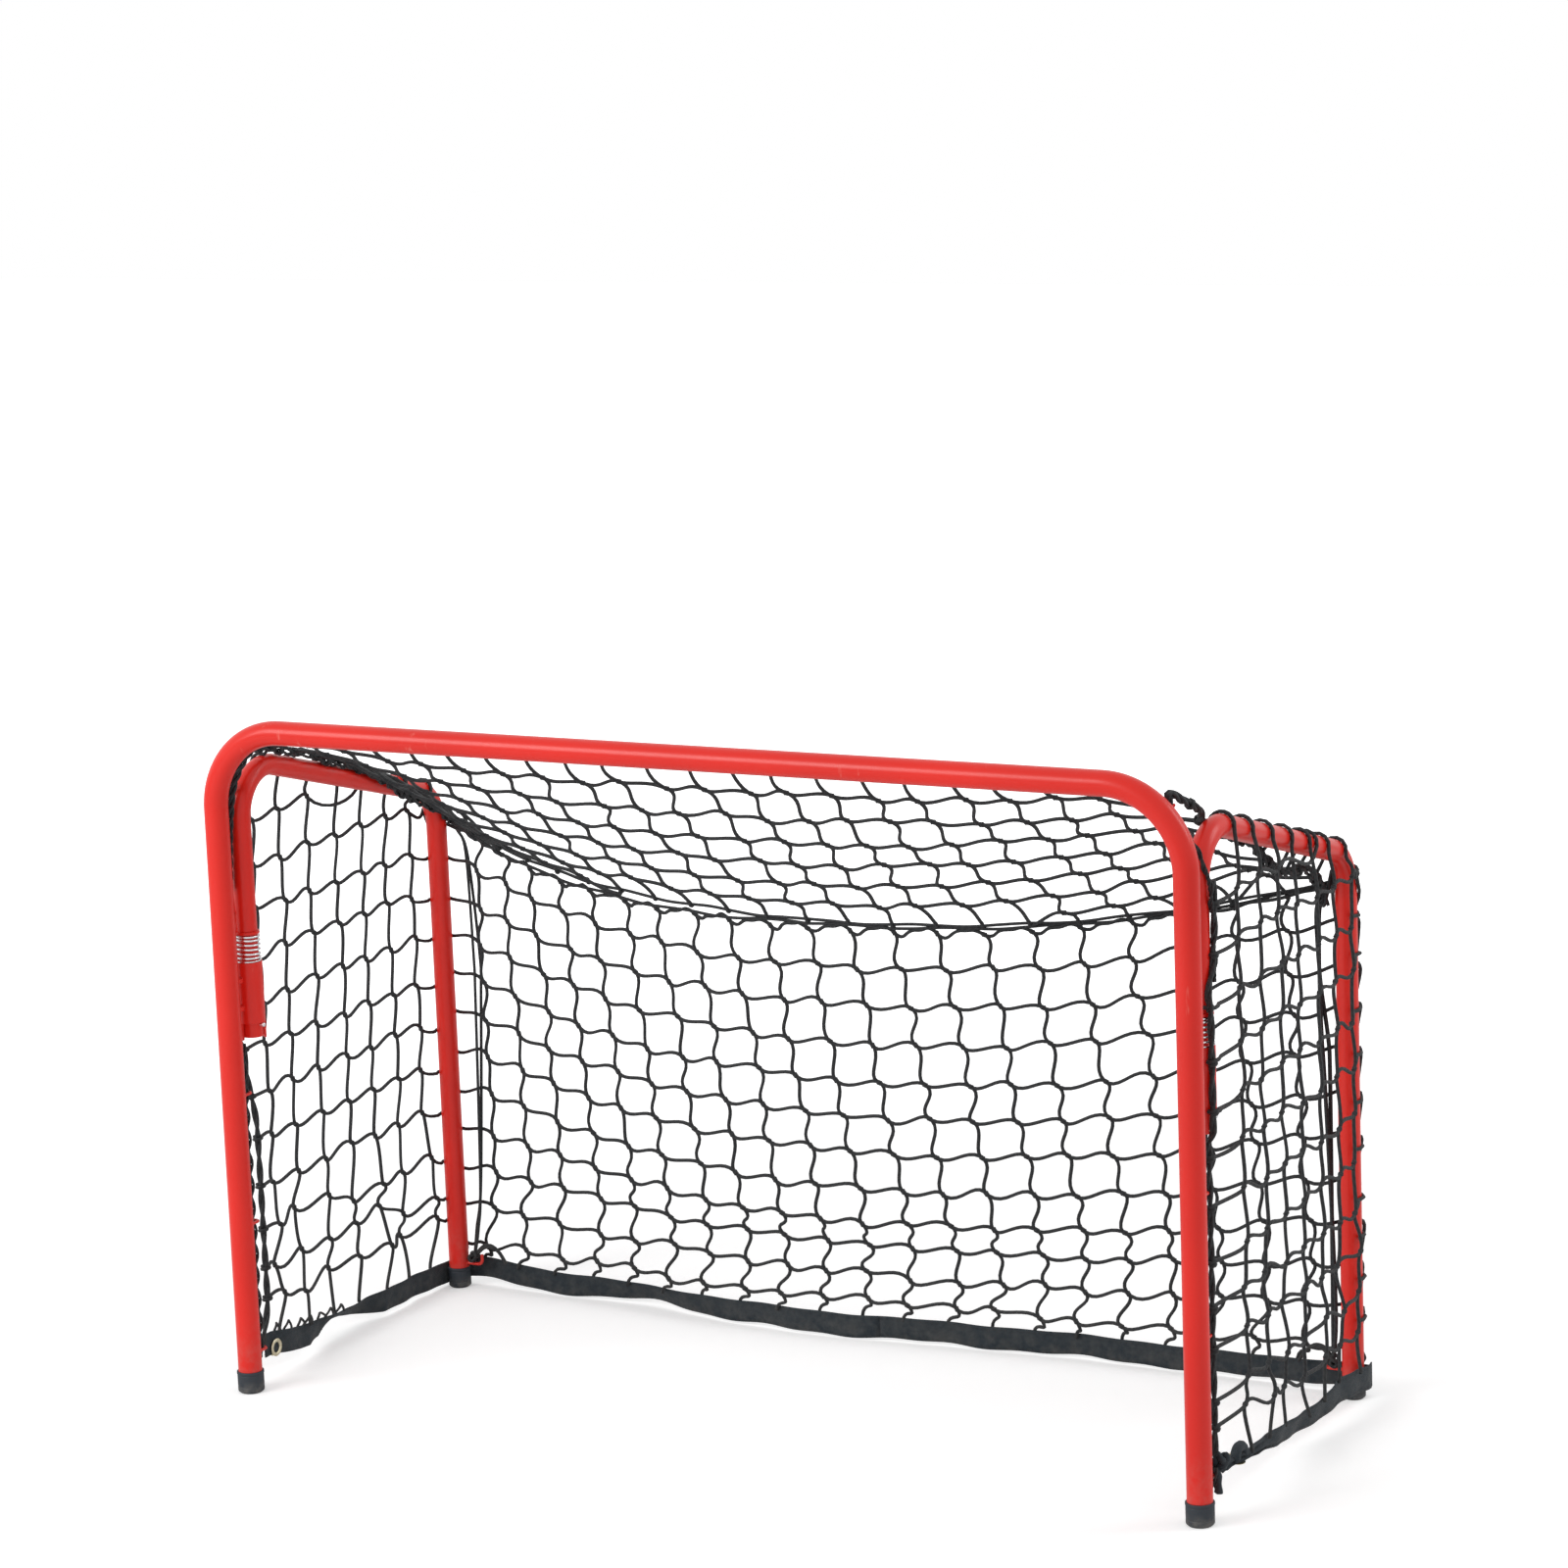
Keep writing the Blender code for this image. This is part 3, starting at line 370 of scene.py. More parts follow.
class Finishes:
    """Every material and node group of the goal, each made once and kept by its name."""

    made = {}

    @classmethod
    def get(cls, name):
        builders = {
            "ground_dust": ground_dust_group,
            "wear_and_highlight": wear_and_highlight_group,
            "cord_lay": cord_lay_group,
            "tape_weave": tape_weave_group,
            "red_paint": red_paint,
            "black_rubber": black_rubber,
            "bright_zinc": bright_zinc,
            "pale_brass": pale_brass,
            "black_cord": black_cord,
            "black_tape": black_tape,
        }
        if name not in cls.made:
            cls.made[name] = builders[name]()
        return cls.made[name]

    @classmethod
    def group(cls, graph, name, values):
        """Outputs of a node group that is placed in a material with its own values."""
        return graph.add("ShaderNodeGroup", values, node_tree=cls.get(name)).outputs


def open_material(name):
    """A material with its graph and its shader, and the goal's colours."""
    material = bpy.data.materials.new(name)
    material.use_nodes = True
    shader = material.node_tree.nodes["Principled BSDF"]
    return material, Graph(material.node_tree), shader, bpy.context.scene.goal_colors


def lighter(color, share):
    return tuple(value + (1 - value) * share for value in color)


def bump(graph, shader, height, strength, distance):
    values = {"Height": height, "Strength": strength, "Distance": distance}
    graph.feed(shader.inputs["Normal"], graph.add("ShaderNodeBump", values).outputs[0])


def wear_and_highlight_marks(graph, tone, wear_and_highlight_color, amount, roughness):
    """Colour and roughness with the marks that handling leaves, which on the red paint are partly painted
    highlight.
    """
    values = {"Color": tone, "Worn_and_lit": wear_and_highlight_color, "Amount": amount, "Roughness": roughness}
    return Finishes.group(graph, "wear_and_highlight", values)


def dusted(graph, tone, reach, amount):
    """Colour and mask of the dust that lies up to a height."""
    dust = tuple(bpy.context.scene.goal_colors.dust)
    values = {"Color": tone, "Dust": dust, "Reach": reach, "Amount": amount}
    return Finishes.group(graph, "ground_dust", values)


def set_constants(shader, values):
    """Numbers that are the same all over the surface, on the shader's own sockets."""
    for name, value in values.items():
        shader.inputs[name].default_value = value


def red_paint():
    """Smooth powder coat with a faint orange peel, pale pink streaks that are partly scuffs and partly
    painted highlight, and dust low down.
    """
    material, graph, shader, colors = open_material("red_paint_finish")
    spot = graph.spot()
    cloudy = graph.ramp(graph.noise(spot, 5.0, 2.0), 0.3, 0.7)
    deep = tuple(value * 0.88 for value in colors.paint)
    tone = graph.mix(cloudy, tuple(colors.paint), deep)
    # Pale pink streaks and patches: scuffs, and painted highlight on the tubes
    scuffs_and_highlight = wear_and_highlight_marks(graph, tone, wear_and_highlight_color=(0.86, 0.30, 0.24), amount=0.5, roughness=0.27)
    dust = dusted(graph, scuffs_and_highlight["Color"], reach=0.09, amount=0.30)
    graph.feed(shader.inputs["Base Color"], dust["Color"])
    graph.feed(shader.inputs["Roughness"], graph.math("ADD", scuffs_and_highlight["Roughness"], dust["Mask"], clamp=True))
    set_constants(shader, {"Specular IOR Level": 0.32, "Coat Weight": 0.12, "Coat Roughness": 0.16})
    bump(graph, shader, graph.noise(spot, 420.0, 1.0), strength=0.10, distance=0.0006)
    return material


def black_rubber():
    """Moulded rubber with a fine matt grain and dust at the sole."""
    material, graph, shader, colors = open_material("black_rubber_finish")
    spot = graph.spot()
    scuffs_and_highlight = wear_and_highlight_marks(graph, tuple(colors.rubber), wear_and_highlight_color=lighter(colors.rubber, 0.10), amount=0.8, roughness=0.52)
    dust = dusted(graph, scuffs_and_highlight["Color"], reach=0.016, amount=0.45)
    graph.feed(shader.inputs["Base Color"], dust["Color"])
    graph.feed(shader.inputs["Roughness"], scuffs_and_highlight["Roughness"])
    bump(graph, shader, graph.noise(spot, 1400.0, 3.0), strength=0.25, distance=0.0004)
    return material


def bright_zinc():
    """Bright zinc plate on spring wire, with a light brushed haze."""
    material, graph, shader, colors = open_material("bright_zinc_finish")
    spot = graph.spot()
    haze = graph.ramp(graph.noise(spot, 110.0, 3.0), 0.3, 0.75)
    tone = graph.mix(haze, tuple(colors.zinc), tuple(value * 0.86 for value in colors.zinc))
    scuffs_and_highlight = wear_and_highlight_marks(graph, tone, wear_and_highlight_color=(0.55, 0.55, 0.56), amount=0.5, roughness=0.16)
    graph.feed(shader.inputs["Base Color"], scuffs_and_highlight["Color"])
    graph.feed(shader.inputs["Roughness"], scuffs_and_highlight["Roughness"])
    set_constants(shader, {"Metallic": 1.0})
    brushed = graph.noise(spot, 900.0, 2.0, 0.5, stretch=(1.0, 1.0, 3.0))
    bump(graph, shader, brushed, strength=0.08, distance=0.0003)
    return material


def pale_brass():
    """Rolled brass of the eyelets, a little tarnished."""
    material, graph, shader, colors = open_material("pale_brass_finish")
    spot = graph.spot()
    tarnish = graph.ramp(graph.noise(spot, 260.0, 4.0, 0.6), 0.42, 0.72)
    tone = graph.mix(tarnish, tuple(colors.brass), (0.50, 0.42, 0.24))
    scuffs_and_highlight = wear_and_highlight_marks(graph, tone, wear_and_highlight_color=(0.90, 0.86, 0.72), amount=0.6, roughness=0.24)
    graph.feed(shader.inputs["Base Color"], scuffs_and_highlight["Color"])
    graph.feed(shader.inputs["Roughness"], scuffs_and_highlight["Roughness"])
    set_constants(shader, {"Metallic": 1.0})
    bump(graph, shader, graph.noise(spot, 700.0, 2.0), strength=0.10, distance=0.0003)
    return material


def black_cord():
    """Twisted polyester twine."""
    material, graph, shader, colors = open_material("black_cord_finish")
    values = {"Color": tuple(colors.cord), "Lit": lighter(colors.cord, 0.022), "Strands": 2.0}
    lay = Finishes.group(graph, "cord_lay", values)
    dust = dusted(graph, lay["Color"], reach=0.10, amount=0.12)
    graph.feed(shader.inputs["Base Color"], dust["Color"])
    set_constants(shader, {"Roughness": 0.72, "Sheen Weight": 0.04, "Sheen Roughness": 0.5})
    bump(graph, shader, lay["Height"], strength=0.6, distance=0.0005)
    return material


def black_tape():
    """Woven hem tape, slate black, dusty along its lower edge."""
    material, graph, shader, colors = open_material("black_tape_finish")
    values = {"Color": tuple(colors.tape), "Lit": lighter(colors.tape, 0.022), "Threads": 900.0}
    weave = Finishes.group(graph, "tape_weave", values)
    dust = dusted(graph, weave["Color"], reach=0.045, amount=0.16)
    graph.feed(shader.inputs["Base Color"], dust["Color"])
    set_constants(shader, {"Roughness": 0.82, "Sheen Weight": 0.06, "Sheen Roughness": 0.4})
    bump(graph, shader, weave["Height"], strength=0.5, distance=0.0004)
    return material


def put(name, shape, finish, body=None, replaces=(), sharp=40):
    """Makes a finished piece of a bmesh whose points are already in place."""
    mesh = bpy.data.meshes.new(name)
    shape.to_mesh(mesh)
    shape.free()
    mesh.materials.append(Finishes.get(finish))
    mesh.shade_smooth()
    if sharp:
        mesh.set_sharp_from_angle(angle=math.radians(sharp))
    item = bpy.data.objects.new(name, mesh)
    bpy.context.scene.collection.objects.link(item)
    if replaces:
        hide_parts(*replaces)
    if body:
        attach(item, body)
    return item


def bend_with_fold(item):
    """Bakes a net half's placement into its mesh, so that its object stands at the origin."""
    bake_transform(item)


def tidy_normals(shape):
    bmesh.ops.remove_doubles(shape, verts=shape.verts, dist=MERGE)
    bmesh.ops.recalc_face_normals(shape, faces=shape.faces)


def of_kind(parts, kind):
    return [part for part in parts if isinstance(part, kind)]


def add_tube(shape, corners, bend, radius, sides=40, steps=20):
    """Round bar through straight runs and bends of one centre-line radius, closed at both ends."""
    corners = [Vector(corner) for corner in corners]
    heading = (corners[1] - corners[0]).normalized()
    here = corners[0]
    turn = heading.to_track_quat("Z", "Y").to_matrix().to_4x4()
    ring = bmesh.ops.create_circle(
        shape, cap_ends=True, segments=sides, radius=radius, matrix=Matrix.Translation(here) @ turn
    )["verts"]
    edges = list({edge for vert in ring for edge in vert.link_edges})
    for corner, after in zip(corners[1:], [*corners[2:], None]):
        ahead = heading if after is None else (after - corner).normalized()
        turned = heading.angle(ahead)
        reach = bend * math.tan(turned / 2)
        stop = corner - heading * reach
        if (stop - here).length > MERGE:
            made = bmesh.ops.extrude_edge_only(shape, edges=edges)["geom"]
            moved = of_kind(made, bmesh.types.BMVert)
            bmesh.ops.translate(shape, verts=moved, vec=stop - here)
            edges = [edge for edge in of_kind(made, bmesh.types.BMEdge) if set(edge.verts) <= set(moved)]
        if after is None:
            break
        axis = heading.cross(ahead).normalized()
        spun = bmesh.ops.spin(
            shape, geom=edges, cent=stop + axis.cross(heading) * bend, axis=axis, angle=turned, steps=steps
        )
        edges = of_kind(spun["geom_last"], bmesh.types.BMEdge)
        here = corner + ahead * reach
        heading = ahead
    bmesh.ops.edgeloop_fill(shape, edges=edges)


def turned_shape(profile, steps=48, closed=True):
    """Revolves (radius, height) points about the vertical through the origin."""
    shape = bmesh.new()
    verts = [shape.verts.new((radius, 0, height)) for radius, height in profile]
    ring = [*verts, verts[0]] if closed else verts
    edges = [shape.edges.new(pair) for pair in zip(ring, ring[1:])]
    bmesh.ops.spin(shape, geom=edges, axis=UP, cent=(0, 0, 0), angle=2 * math.pi, steps=steps, use_merge=True)
    tidy_normals(shape)
    return shape


def rounded(points, radius, steps=4, closed=True):
    """Softens every corner of a profile with a small fillet, which takes up less than half of a side."""
    most = 0.45
    points = [Vector(point) for point in points]
    count = len(points)
    outline = []
    for number, corner in enumerate(points):
        if not closed and number in (0, count - 1):
            outline.append(corner)
            continue
        before = points[number - 1]
        after = points[(number + 1) % count]
        reach = min(radius, (before - corner).length * most, (after - corner).length * most)
        start = corner + (before - corner).normalized() * reach
        finish = corner + (after - corner).normalized() * reach
        for step in range(steps + 1):
            share = step / steps
            outline.append(start * (1 - share) ** 2 + corner * 2 * share * (1 - share) + finish * share**2)
    return [tuple(point) for point in outline]


def even_steps(path, spacing):
    """The same path with its points an even distance apart."""
    lengths = [0.0]
    for start, finish in zip(path, path[1:]):
        lengths.append(lengths[-1] + (finish - start).length)
    count = max(2, round(lengths[-1] / spacing))
    even = []
    leg = 0
    for number in range(count + 1):
        goal = lengths[-1] * number / count
        while leg < len(path) - 2 and lengths[leg + 1] < goal:
            leg += 1
        span = max(lengths[leg + 1] - lengths[leg], TINY)
        even.append(path[leg].lerp(path[leg + 1], min(1.0, (goal - lengths[leg]) / span)))
    return even


def smooth_path(points, spacing):
    """Even steps along a smooth curve through the points."""
    points = [Vector(point) for point in points]
    ends = [points[0] * 2 - points[1], *points, points[-1] * 2 - points[-2]]
    steps = 10
    fine = []
    for a, b, c, d in zip(ends, ends[1:], ends[2:], ends[3:]):
        square = a * 2 - b * 5 + c * 4 - d
        cube = b * 3 - a - c * 3 + d
        for step in range(steps):
            t = step / steps
            fine.append((b * 2 + (c - a) * t + square * t**2 + cube * t**3) / 2)
    fine.append(points[-1])
    return even_steps(fine, spacing)


def frames_along(path):
    """Each point with its heading and two directions square to it that turn as little as they can."""
    across = (path[1] - path[0]).orthogonal().normalized()
    found = []
    for number, point in enumerate(path):
        ahead = (path[min(number + 1, len(path) - 1)] - path[max(number - 1, 0)]).normalized()
        across = (across - ahead * across.dot(ahead)).normalized()
        found.append((point, ahead, across, ahead.cross(across)))
    return found


def wound_strands(path, count, offset, lay, start=0.0):
    """Lines of strands that wind round a path."""
    strands = [[] for _ in range(count)]
    travelled = 0.0
    last = path[0]
    for point, _, across, beside in frames_along(path):
        travelled += (point - last).length
        last = point
        for number, strand in enumerate(strands):
            angle = start + 2 * math.pi * (travelled / lay + number / count)
            strand.append(point + across * offset * math.cos(angle) + beside * offset * math.sin(angle))
    return strands


class Cords:
    """Cords that go into a shape together. Their map runs once round, and once along for each lay."""

    # A laid rope: its strands, a strand's width as a share of the rope's, and how far it is pressed flat
    STRANDS = 3
    STRAND_SHARE = 0.536
    PRESSED = 0.94
    STEPS_A_LAY = 8

    def __init__(self):
        self.lines = []

    def add(self, path, radius, lay=0.008):
        """A cord along points, with one radius or one for each point."""
        radii = [radius] * len(path) if isinstance(radius, float) else radius
        self.lines.append((path, radii, lay))

    def add_wound(self, path, count, offset, lay, radius, start=0.0):
        """Cords of one radius that wind round a path together."""
        for wound in wound_strands(path, count, offset, lay, start):
            self.add(wound, radius)

    def add_rope(self, path, diameter, lay):
        """A rope of real strands laid round its path."""
        even = even_steps([Vector(point) for point in path], lay / self.STEPS_A_LAY)
        radius = diameter / 2 * self.STRAND_SHARE * self.PRESSED
        for strand in wound_strands(even, self.STRANDS, diameter / 2 - radius, lay):
            self.add(strand, radius, lay / self.STRANDS)

    def add_turns(self, line, shares, around, turns, radius):
        """Turns of twine that whip a line together at shares of its length."""
        for share in shares:
            number = round(share * (len(line) - 2))
            ahead = (line[number + 1] - line[number]).normalized()
            self.add(loop_round(line[number], ahead, around, UP, turns), radius)

    def pour(self, resolution=1, girth=1.0):
        """A shape of all the cords, with the map's width at girth."""
        curve = bpy.data.curves.new("cords", "CURVE")
        curve.dimensions = "3D"
        curve.bevel_depth = 1.0
        curve.bevel_resolution = resolution
        curve.use_fill_caps = True
        sides = 4 + 2 * resolution
        turns, corners = [], []
        for path, radii, lay in self.lines:
            spline = curve.splines.new("POLY")
            spline.points.add(len(path) - 1)
            spline.points.foreach_set("co", [value for point in path for value in (*point, 1)])
            spline.points.foreach_set("radius", radii)
            turns.append(sum((b - a).length for a, b in zip(path, path[1:])) / lay)
            corners.append((len(path) - 1) * sides * 4)
        holder = bpy.data.objects.new("cords", curve)
        mesh = bpy.data.meshes.new_from_object(holder)
        places = numpy.empty(len(mesh.loops) * 2, dtype=numpy.float32)
        mesh.uv_layers[0].data.foreach_get("uv", places)
        wall = 2 * (len(mesh.loops) - sum(corners))
        places[wall::2] *= numpy.repeat(turns, corners)
        places[wall + 1 :: 2] *= girth
        mesh.uv_layers[0].data.foreach_set("uv", places)
        shape = bmesh.new()
        shape.from_mesh(mesh)
        bpy.data.objects.remove(holder)
        bpy.data.curves.remove(curve)
        bpy.data.meshes.remove(mesh)
        return shape

    def finish(self, name, body=None, replaces=()):
        """Makes the cords a piece of black cord."""
        return put(name, self.pour(), "black_cord", body, replaces, 0)


def hermite(start, finish, leave, arrive, steps):
    points = []
    for step in range(steps + 1):
        t = step / steps
        a = 2 * t**3 - 3 * t**2 + 1
        b = t**3 - 2 * t**2 + t
        c = 3 * t**2 - 2 * t**3
        d = t**3 - t**2
        points.append(start * a + leave * b + finish * c + arrive * d)
    return points


class Knot:
    """A crossing of the net: strands come in at its head and leave at its tail, both along its fall."""

    # Places along the lump and its widths there, as shares of the knot's length and of a strand
    LUMP = ((-0.50, 0.40), (-0.30, 0.62), (0.0, 0.68), (0.30, 0.62), (0.50, 0.40))
    # The turn of twine round the lump: how far out and how thick, then how slanted and how far along
    TURN_OUT = 0.46
    TURN_RADIUS = 0.33
    TURN_SLANT = 0.16
    TURN_SHIFT = 0.02

    def __init__(self, point, fall, half=0.0):
        self.point = point
        self.fall = fall.normalized()
        self.head = point - self.fall * half
        self.tail = point + self.fall * half

    def add(self, cords, length, strand):
        """A short slanted lump with one turn of twine round it."""
        lump = [self.point + self.fall * length * place for place, _ in self.LUMP]
        cords.add(lump, [strand * wide for _, wide in self.LUMP])
        across = self.fall.orthogonal().normalized()
        beside = self.fall.cross(across)
        turn = []
        for step in range(9):
            angle = math.pi * step / 4
            ring = across * math.cos(angle) + beside * math.sin(angle)
            along = self.TURN_SLANT * math.cos(angle) + self.TURN_SHIFT
            turn.append(self.point + ring * strand * self.TURN_OUT + self.fall * length * along)
        cords.add(turn, strand * self.TURN_RADIUS)


def net_knot(point, right, up, dice):
    """A knot that slants down to the right, each a little differently."""
    play = 13
    half = 0.36
    slant = math.radians(45 + dice.uniform(-play, play))
    fall = right * math.cos(slant) - up * math.sin(slant)
    return Knot(point, fall, bpy.context.scene.goal_net.knot * half)


def strand(here, beyond, dice, ease=1.0, steps=8):
    """Line of a strand from one knot to the next. It bows more where the net is slack."""
    net = bpy.context.scene.goal_net
    shortest = 0.006
    bow = (0.6, 1.25)
    play = 0.12
    reach = max((beyond.head - here.tail).length, shortest)
    slack = 1.5 * max(0.0, (net.mesh - shortest) / reach - 1)
    swing = Vector([dice.uniform(-play, play) for _ in range(3)]) * reach
    ahead = (beyond.head - here.tail).normalized() * 0.45
    leave = (here.fall + ahead).normalized() * reach * (dice.uniform(*bow) * ease + slack) + swing
    arrive = (beyond.fall + ahead).normalized() * reach * (dice.uniform(*bow) * ease + slack) - swing
    return hermite(here.tail, beyond.head, leave, arrive, steps)


def knot_grid(spot, columns, rows, dice, loose):
    """Knots of a net whose surface is spot(column, row), moved at random by loose(column, row)."""
    probe = 0.1
    bulge = 0.022
    grid = {}
    for column in columns:
        for row in rows:
            play = loose(column, row)
            u = column + dice.uniform(-play, play)
            v = row + dice.uniform(-play, play)
            right = (spot(u + probe, v) - spot(u - probe, v)).normalized()
            up = (spot(u, v + probe) - spot(u, v - probe)).normalized()
            out = right.cross(up).normalized()
            point = spot(u, v) + out * dice.uniform(-bulge, bulge) * play
            grid[column, row] = net_knot(point, right, out.cross(right), dice)
    return grid


def loop_round(point, along, radius, start, turns=1.25):
    """Line of a strand that is hitched round a rope."""
    steps_a_turn = 9
    spread = 0.9
    along = along.normalized()
    outward = (start - along * start.dot(along)).normalized()
    beside = along.cross(outward)
    count = max(4, round(turns * steps_a_turn))
    line = []
    for number in range(count + 1):
        angle = 2 * math.pi * turns * number / count
        drift = along * radius * spread * (number / count - 0.5)
        line.append(point + (outward * math.cos(angle) + beside * math.sin(angle)) * radius + drift)
    return line


def smooth_share(value):
    value = min(max(value, 0.0), 1.0)
    return value * value * (3 - 2 * value)


def rail_corners(side):
    """Corners of a side frame's centre line, from the sleeve round to the rear foot."""
    tubes = bpy.context.scene.goal_tubes
    x = side * RAIL_X
    places = (
        (HINGE_Y, RAIL_LOW), (HINGE_Y, tubes.rail_front), (LEG_Y, tubes.rail_rear), (LEG_Y, TUBE_LOW),
    )
    return [(x, y, z) for y, z in places]


def rail_line(side, spacing=CORD_STEP):
    """Centre line of a side frame as even steps, its bends worked out as arcs."""
    tubes = bpy.context.scene.goal_tubes
    steps = 12
    corners = [Vector(corner) for corner in rail_corners(side)]
    path = [corners[0]]
    for before, corner, after in zip(corners, corners[1:], corners[2:]):
        back = (before - corner).normalized()
        ahead = (after - corner).normalized()
        turn = math.pi - back.angle(ahead)
        centre = corner + (back + ahead).normalized() * tubes.rail_bend / math.cos(turn / 2)
        start = corner + back * tubes.rail_bend * math.tan(turn / 2) - centre
        finish = corner + ahead * tubes.rail_bend * math.tan(turn / 2) - centre
        for step in range(steps + 1):
            share = step / steps
            blend = start * math.sin((1 - share) * turn) + finish * math.sin(share * turn)
            path.append(centre + blend / math.sin(turn))
    path.append(corners[-1])
    return even_steps(path, spacing)


def beside_rail(side, line, number, angle, distance):
    """Point beside a side frame: angle 0 lies outside its bends, and 90 degrees towards the goal's middle."""
    before = line[max(number - 1, 0)]
    after = line[min(number + 1, len(line) - 1)]
    heading = (after - before).normalized()
    outward = Vector((0, -heading.z, heading.y))
    inward = Vector((-side, 0, 0))
    return line[number] + (outward * math.cos(angle) + inward * math.sin(angle)) * distance


def clear_of(line, point, distance):
    """The point, moved straight out to a distance from a line where it lies nearer."""
    near = min(line, key=lambda place: (place - point).length_squared)
    away = point - near
    return point if away.length >= distance else near + away.normalized() * distance


def clear_of_axis(point, x, y, distance):
    """The point, moved level and straight out to a distance from an upright axis where it lies nearer."""
    away = Vector((point.x - x, point.y - y, 0))
    if away.length >= distance:
        return point
    return Vector((x, y, point.z)) + away.normalized() * distance


def bundle_line(side):
    """Line of the gathered net edge along a side frame, from its front bend to its rear leg."""
    tubes = bpy.context.scene.goal_tubes
    rail = rail_line(side, TIE_STEP)
    inset, places = BUNDLES[side]
    bundle_radius = 0.0062
    reach = tubes.rail / 2 + bundle_radius
    return [clear_of(rail, Vector((side * inset, y, z)), reach) for y, z in places]


def height_at(path, y):
    """Place on a line at a depth y, taken along its run."""
    for start, finish in zip(path, path[1:]):
        if start.y <= y <= finish.y:
            return start.lerp(finish, (y - start.y) / max(finish.y - start.y, TINY))
    return path[0] if y < path[0].y else path[-1]


def line_at(places, y):
    """Height that a list of (depth, height) places gives at a depth, the depths falling."""
    for (y_a, z_a), (y_b, z_b) in zip(places, places[1:]):
        if y_b <= y <= y_a:
            return z_a + (z_b - z_a) * (y_a - y) / max(y_a - y_b, TINY)
    return places[0][1] if y > places[0][0] else places[-1][1]


def back_rope_point(x):
    """Place of the back rope: its middle hangs low and is drawn forward by the roof."""
    net = bpy.context.scene.goal_net
    flatness = 2.6
    share = min(abs(x) / RAIL_X, 1.0)
    height = net.rope_middle + (net.rope_corner - net.rope_middle) * share**flatness
    return Vector((x, BACK_ROPE_Y - net.rope_lean * (1 - share**2), height))


def rope_gap(x):
    """Half the distance between the back rope's two cords, which part only on the left."""
    closed, spread = 0.0017, 0.0028
    part_x, part_run = -0.01, 0.14
    meet_x, meet_run = -0.42, 0.12
    parted = smooth_share((part_x - x) / part_run)
    met = smooth_share((meet_x - x) / meet_run)
    return closed + spread * parted * (1 - met)


def hem_shift(x):
    """How far the foot of the back net lies forward of its plane and sags to the floor."""
    bow, bow_x, bow_width = 0.032, -0.12, 0.25
    sag = 0.005
    bowed = math.exp(-(((x - bow_x) / bow_width) ** 2)) * (1 - smooth_share((abs(x) - 0.48) / 0.10))
    sagged = 1 - smooth_share((abs(x) - 0.46) / 0.12)
    return Vector((0, -bow * bowed, -sag * sagged))


def rope_x(column, columns):
    """Where a column of the net crosses the back rope."""
    inset = 0.012
    return (2 * column / columns - 1) * (RAIL_X - inset)


def crossbar_height(x):
    """Height of the front frame's centre line at x, round the bends."""
    tubes = bpy.context.scene.goal_tubes
    over = max(0.0, abs(x) - (POST_X - tubes.post_bend))
    top = TUBE_TOP - tubes.post / 2
    return top - tubes.post_bend + math.sqrt(max(0.0, tubes.post_bend**2 - over**2))


class GOAL_OT_camera(Operator):
    """Camera at the photograph's viewing angle"""

    bl_idname = "goal.camera"
    bl_label = "Camera"

    place = (2.469, -4.5065, 1.685)
    yaw, pitch, roll = 28.58, -10.70, 2.18
    lens = 106.97

    def execute(self, context):
        turn = Matrix.Rotation(math.radians(self.yaw), 3, "Z")
        turn = turn @ Matrix.Rotation(math.radians(self.pitch), 3, "X")
        turn = turn @ Matrix.Rotation(math.radians(self.roll), 3, "Y")
        look = bpy.data.cameras.new("camera")
        look.sensor_width = 36.0
        look.lens = self.lens
        look.clip_end = 60.0
        camera = bpy.data.objects.new("camera", look)
        basis = Matrix((turn.col[0], turn.col[2], -turn.col[1])).transposed()
        camera.matrix_world = Matrix.Translation(self.place) @ basis.to_4x4()
        context.scene.collection.objects.link(camera)
        context.scene.camera = camera
        return {"FINISHED"}


class GOAL_OT_tubes(Operator):
    """Front frame and side frame tubes, bent smooth and painted"""

    bl_idname = "goal.tubes"
    bl_label = "Painted tubes"

    def execute(self, context):
        tubes = context.scene.goal_tubes
        top = TUBE_TOP - tubes.post / 2
        places = ((-POST_X, TUBE_LOW), (-POST_X, top), (POST_X, top), (POST_X, TUBE_LOW))
        corners = [(x, POST_Y, z) for x, z in places]
        shape = bmesh.new()
        add_tube(shape, corners, tubes.post_bend, tubes.post / 2, 56, 24)
        tidy_normals(shape)
        put("painted_front_tube", shape, "red_paint", "front_frame", ["front_frame_tube"])
        for label, side in SIDES:
            shape = bmesh.new()
            add_tube(shape, rail_corners(side), tubes.rail_bend, tubes.rail / 2, 48, 20)
            tidy_normals(shape)
            name = f"{label}_painted_side_tube"
            put(name, shape, "red_paint", f"{label}_side_frame", [f"{label}_side_tube"])
        return {"FINISHED"}


